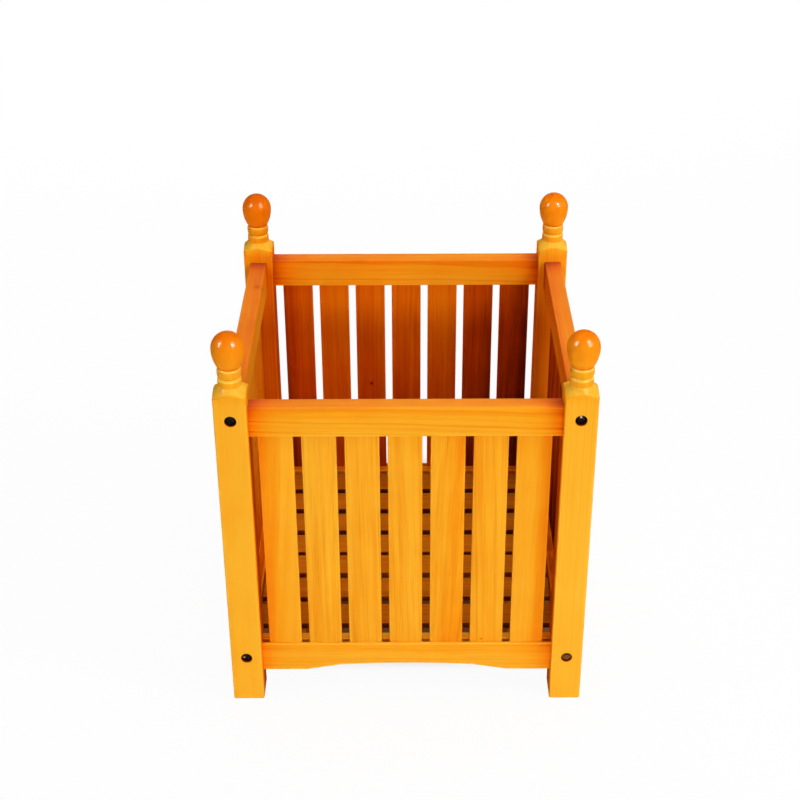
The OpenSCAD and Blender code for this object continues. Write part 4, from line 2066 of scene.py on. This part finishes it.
@dataclass
class Bolts:
    """Eight bolts along Y, with a domed head and a hexagonal socket, seated in the posts."""

    centre: float = 228 * MM
    post_half: float = 22 * MM
    seat_deep: float = 7.5 * MM
    heights: tuple[float, float] = (74.88 * MM, 467.04 * MM)
    # The head, its socket and the shank
    head_r: float = 7.6 * MM
    head_edge: float = 0.3 * MM
    rim: float = 2 * MM
    dome: float = 3.5 * MM
    dome_rows: int = 12
    socket: float = 5 * MM
    socket_deep: float = 2.8 * MM
    socket_lip: float = 0.35 * MM
    shank_r: float = 3 * MM
    shank_length: float = 58 * MM
    shank_chamfer: tuple[float, float] = (0.6 * MM, 0.8 * MM)
    columns: int = 72
    # The bolt that has lost its black and how far it has, painted shade keeping its top black,
    # and the painted glints on the others
    brown_bolt: tuple[Corner, Level] = (Corner.FRONT_RIGHT, Level.BOTTOM)
    brown_share: float = 0.6
    chips: tuple[Chip, ...] = (
        Chip(Corner.FRONT_RIGHT, Level.TOP, -0.4 * MM, 4.6 * MM),
        Chip(Corner.FRONT_LEFT, Level.BOTTOM, -3.8 * MM, -0.2 * MM),
    )
    chip_r: float = 2.0 * MM
    chip_gain: float = 3.0

    def _skin(self) -> Skin:
        """Works out one bolt that stands on its seat at height 0, its shank downwards.

        The rows are circles up to the lip of the socket; the socket's rows are hexagons, whose
        distance in a direction is half the width across flats over the cosine of the angle to the
        nearest flat.

        Returns:
            The surface, closed at the tip of the shank and at the bottom of the socket.
        """
        angle = np.linspace(0, FULL_TURN, self.columns, endpoint=False)
        to_flat = (angle + SIXTH_TURN / 2) % SIXTH_TURN - SIXTH_TURN / 2
        hexagon = self.socket / 2 / np.cos(to_flat)
        lip = self.socket / 2 / math.cos(SIXTH_TURN / 2) + self.socket_lip
        top, tip = self.rim + self.dome, -self.shank_length
        floor = top - self.socket_deep
        in_by, up_by = self.shank_chamfer
        shank = [(self.shank_r - in_by, tip), (self.shank_r, tip + up_by), (self.shank_r, 0.0)]
        edge = [(self.head_r - self.head_edge, 0.0), (self.head_r, self.head_edge)]
        climb = np.radians(np.linspace(0, 90, self.dome_rows))
        dome = np.stack(
            [self.head_r * np.cos(climb), self.rim + self.dome * np.sin(climb)], axis=1
        )
        dome = dome[dome[:, 0] > lip]
        round_rows = np.concatenate([shank, edge, dome, [(lip, top - 0.05 * MM)]])
        round_r = np.broadcast_to(round_rows[:, :1], (len(round_rows), self.columns))
        # Distance past the hexagon, share of it and height of each of the socket's rows
        past, share, levels = np.array(
            [
                (0.12 * MM, 1.0, top - 0.1 * MM),
                (0.0, 1.0, top - 0.3 * MM),
                (0.0, 1.0, floor),
                (0.0, 0.3, floor - 0.25 * MM),
            ]
        ).T[:, :, None]
        radius = np.concatenate([round_r, hexagon * share + past])
        height = np.broadcast_to(np.concatenate([round_rows[:, 1:], levels]), radius.shape)
        cloud = np.stack([radius * np.cos(angle), radius * np.sin(angle), height], axis=-1)
        rows = len(radius)
        quads = grid_quads(rows, self.columns).reshape(-1, 4)
        return Skin.plain(cloud.reshape(-1, 3), quads, end_caps(rows, self.columns))

    def _wear(self, corner: Corner, level: Level, across: Array, up: Array) -> Array:
        """Stain of a bolt, which here tells how far its black has worn off and where a glint is
        painted.

        Args:
            corner: The bolt's corner.
            level: The bolt's level.
            across: Each point's place from the bolt's middle along X.
            up: Each point's place from the bolt's middle upwards.

        Returns:
            0 for a black bolt; on the brown one a share that falls with the height, so that the
            top of its head keeps painted shade; and on a painted glint a share that falls with the
            distance from its middle.
        """
        head_marks = np.zeros(len(across))
        if (corner, level) == self.brown_bolt:
            # Brown below and black towards the top: painted shade from the counterbore's upper wall
            head_marks += np.clip(self.brown_share - up / self.head_r, 0, 1)
        for glint in self.chips:
            if (corner, level) == (glint.corner, glint.level):
                away = np.hypot(across - glint.across, up - glint.up)
                head_marks += np.clip(1 - away / self.chip_r, 0, 1) * self.chip_gain
        return head_marks

    def build(self, shop: Workshop) -> None:
        """Makes the bolts as one piece, each with its socket turned its own way.

        Args:
            shop: The workshop that makes the pieces.
        """
        one = self._skin()
        twist = iter(np.random.default_rng(5).uniform(0, SIXTH_TURN, 8))
        bolts: list[Skin] = []
        for corner in Corner:
            for level, z in zip(Level, self.heights):
                turn = next(twist)
                cos, sin = math.cos(turn), math.sin(turn)
                flat = np.array([[cos, -sin], [sin, cos]])
                across, up = (one.points[:, :2] @ flat.T).T
                x, y = corner.value
                seat = y * (self.centre + self.post_half - self.seat_deep)
                place = np.array([x * self.centre, seat, z])
                laid = np.stack([across, y * one.points[:, 2], up], axis=1) + place
                bolt = Skin.plain(laid, one.quads, one.caps)
                bolt.tint(self._wear(corner, level, across, up))
                bolts.append(bolt)
        whole = bolts[0]
        for bolt in bolts[1:]:
            whole = whole.join(bolt)
        shop.piece("bolt_set", whole, BOLT_FINISH, "bolts")


@dataclass
class HiddenJoinery:
    """Inserts and dowels inside the wood, which keep their CAD solids."""

    dowels: tuple[str, ...] = ("rail_dowels", "locating_dowels", "bearer_dowels")
    inserts: str = "threaded_inserts"

    def build(self, shop: Workshop) -> None:
        """Dresses the CAD nodes.

        Args:
            shop: The workshop that holds the finishes.
        """
        for node in self.dowels:
            shop.dress(node, DOWEL_FINISH)
        shop.dress(self.inserts, STEEL_FINISH)


# Studio


@dataclass(frozen=True)
class Lamp:
    """A soft rectangular lamp that looks at the planter's middle.

    A lamp that doesn't shine gives no reflections, and one that doesn't light gives nothing else.
    """

    name: str
    place: tuple[float, float, float]
    size: tuple[float, float]
    level: float
    shines: bool = True
    lights: bool = True
    target: tuple[float, float, float] = (0.0, 0.0, 280 * MM)

    def build(self) -> None:
        """Makes the lamp.

        Its power gives a white surface that faces it, at the planter, the brightness level: the
        level times the square of pi and of the distance.
        """
        look = Vector(self.target) - Vector(self.place)
        data = bpy.data.lights.new(self.name, "AREA")
        data.shape = "RECTANGLE"
        data.size, data.size_y = self.size
        data.energy = self.level * (math.pi * look.length) ** 2
        made = into_scene(self.name, data)
        made.location = self.place
        made.rotation_euler = look.to_track_quat("-Z", "Y").to_euler()
        made.visible_camera = False
        made.visible_glossy = self.shines
        made.visible_diffuse = self.lights
        log.info("lamp %s", self.name)


@dataclass
class Studio:
    """Pale floor, white surroundings, soft lamps and the camera."""

    # The camera
    lens: float = 69.397
    sensor: float = 36.0
    sight: float = 100.0
    pitch: float = -30.001
    yaw: float = -0.2834
    roll: float = -0.3174
    eye: tuple[float, float, float] = (1.23212 * MM, -1969.574 * MM, 1492.254 * MM)
    # The white of the surroundings and of the floor, near the planter and from far away
    ambient: float = 0.12
    glow: float = 0.95
    far: tuple[float, float] = (0.8, 2.5)
    floor_half: float = 30.0
    floor_colour: Colour = linear(248, 248, 247)
    # The patch that keeps the planter's shadow
    shade_half: float = 0.20
    shade_front: float = -0.12
    shade_back: float = 0.36
    shade_fade: float = 0.07
    # A darker colour on the floor under the boards: painted shadow
    under_half: float = 0.238
    under_y: tuple[float, float] = (-0.145, 0.24)
    under_fade: float = 0.03
    under_colour: Colour = linear(150, 105, 66)
    lamps: tuple[Lamp, ...] = (
        Lamp("low_front", (0.7, -12.0, 2.8), (9.9, 2.1), 0.55, shines=False),
        Lamp("high_right", (2.0, -0.95, 2.3), (0.6, 0.9), 0.33, shines=False),
        Lamp("high_left", (-2.4, -0.6, 2.3), (0.4, 0.4), 0.09, shines=False),
        Lamp("overhead", (0.3, 0.2, 3.0), (1.8, 1.8), 0.43, shines=False),
        Lamp("low_back", (-0.4, 3.4, 1.1), (2.8, 0.6), 0.38, shines=False),
        Lamp("right_window", (1.55, -1.5, 2.0), (0.9, 1.7), 12.0, lights=False),
        Lamp("left_window", (-1.95, -1.1, 1.8), (0.5, 1.1), 11.0, lights=False),
    )

    def _camera(self) -> None:
        """Makes the camera at the viewing angle measured for the photograph."""
        pitch, yaw, roll = (math.radians(a) for a in (self.pitch, self.yaw, self.roll))
        level = Vector((math.sin(yaw), math.cos(yaw), 0.0))
        ahead = level * math.cos(pitch) + Vector((0.0, 0.0, math.sin(pitch)))
        right = Vector((math.cos(yaw), -math.sin(yaw), 0.0))
        up = right.cross(ahead)
        x = right * math.cos(roll) + up * math.sin(roll)
        y = up * math.cos(roll) - right * math.sin(roll)
        data = bpy.data.cameras.new("camera")
        data.sensor_width = self.sensor
        data.lens = self.lens
        data.clip_end = self.sight
        made = into_scene("camera", data)
        turned = Matrix((x, y, -ahead)).transposed().to_4x4()
        made.matrix_world = Matrix.Translation(self.eye) @ turned
        bpy.context.scene.camera = made
        log.info("camera placed")

    @staticmethod
    def _seen(graph: Graph) -> Number:
        """Tells what the camera sees from what only lights the planter.

        Args:
            graph: The nodes of the floor or the world.

        Returns:
            1 for rays from the camera and for reflected or refracted rays, else 0.
        """
        path = graph.add("ShaderNodeLightPath", {}, {})
        names = ("Is Camera Ray", "Is Glossy Ray", "Is Transmission Ray")
        camera, glossy, through = (Number(graph, path.outputs[name]) for name in names)
        return camera.most(glossy).most(through)

    def _world(self) -> None:
        """Makes the white surroundings, which light the planter only softly."""
        world = bpy.data.worlds.new("studio")
        bpy.context.scene.world = world
        graph = Graph(world)
        strength = self._seen(graph) * (1 - self.ambient) + self.ambient
        white = {"Color": WHITE, "Strength": strength}
        graph.end(graph.add("ShaderNodeBackground", {}, white), "ShaderNodeOutputWorld")

    def _floor_material(self) -> bpy.types.Material:
        """Makes the floor's material, which glows for the camera but not where shade lies.

        The share of the glow rises with the larger of the distances from the sides of the patch
        under and close behind the planter, and far from it the floor is as white as its
        surroundings. A smaller patch under the boards has a darker colour: painted shadow.

        Returns:
            The material.
        """
        material = bpy.data.materials.new("pale_floor")
        graph = Graph(material)
        x, y, _ = graph.point().split()
        across = x.without_sign()
        out = (across - self.shade_half).most(self.shade_front - y).most(y - self.shade_back)
        spread = out.ease(*self.far) * (1 - self.glow) + self.glow
        # Painted shadow: a darker colour under the boards
        front, back = self.under_y
        under = (across - self.under_half).most(front - y).most(y - back)
        beyond = under.ease(0.0, self.under_fade)
        share = self._seen(graph) * out.ease(0.0, self.shade_fade) * spread * beyond
        colour = graph.mix(beyond, self.under_colour, self.floor_colour)
        matt = graph.add("ShaderNodeBsdfDiffuse", {}, {"Color": colour})
        glow = graph.add("ShaderNodeEmission", {}, {"Color": WHITE, "Strength": 1.0})
        shaders = {1: Flow(graph, matt.outputs[0]), 2: Flow(graph, glow.outputs[0])}
        graph.end(graph.add("ShaderNodeMixShader", {}, {0: share, **shaders}))
        return material

    def _floor(self) -> None:
        """Lays the floor, a square about the planter."""
        half = self.floor_half
        corners = [(-half, -half, 0), (half, -half, 0), (half, half, 0), (-half, half, 0)]
        mesh = bpy.data.meshes.new("studio_floor")
        mesh.from_pydata(corners, [], [(0, 1, 2, 3)])
        mesh.materials.append(self._floor_material())
        into_scene("studio_floor", mesh)
        log.info("floor laid")

    def build(self) -> None:
        """Makes the whole studio."""
        bpy.context.scene.view_settings.view_transform = "Standard"
        self._camera()
        self._world()
        self._floor()
        for lamp in self.lamps:
            lamp.build()


def main() -> None:
    """Builds the planter and the studio."""
    logging.basicConfig(level=logging.INFO, format="%(name)s: %(message)s")
    shop = Workshop()
    CornerPosts().build(shop)
    Panels().build(shop)
    FloorDeck().build(shop)
    Bolts().build(shop)
    HiddenJoinery().build(shop)
    Studio().build()


if __name__ == "__main__":
    main()
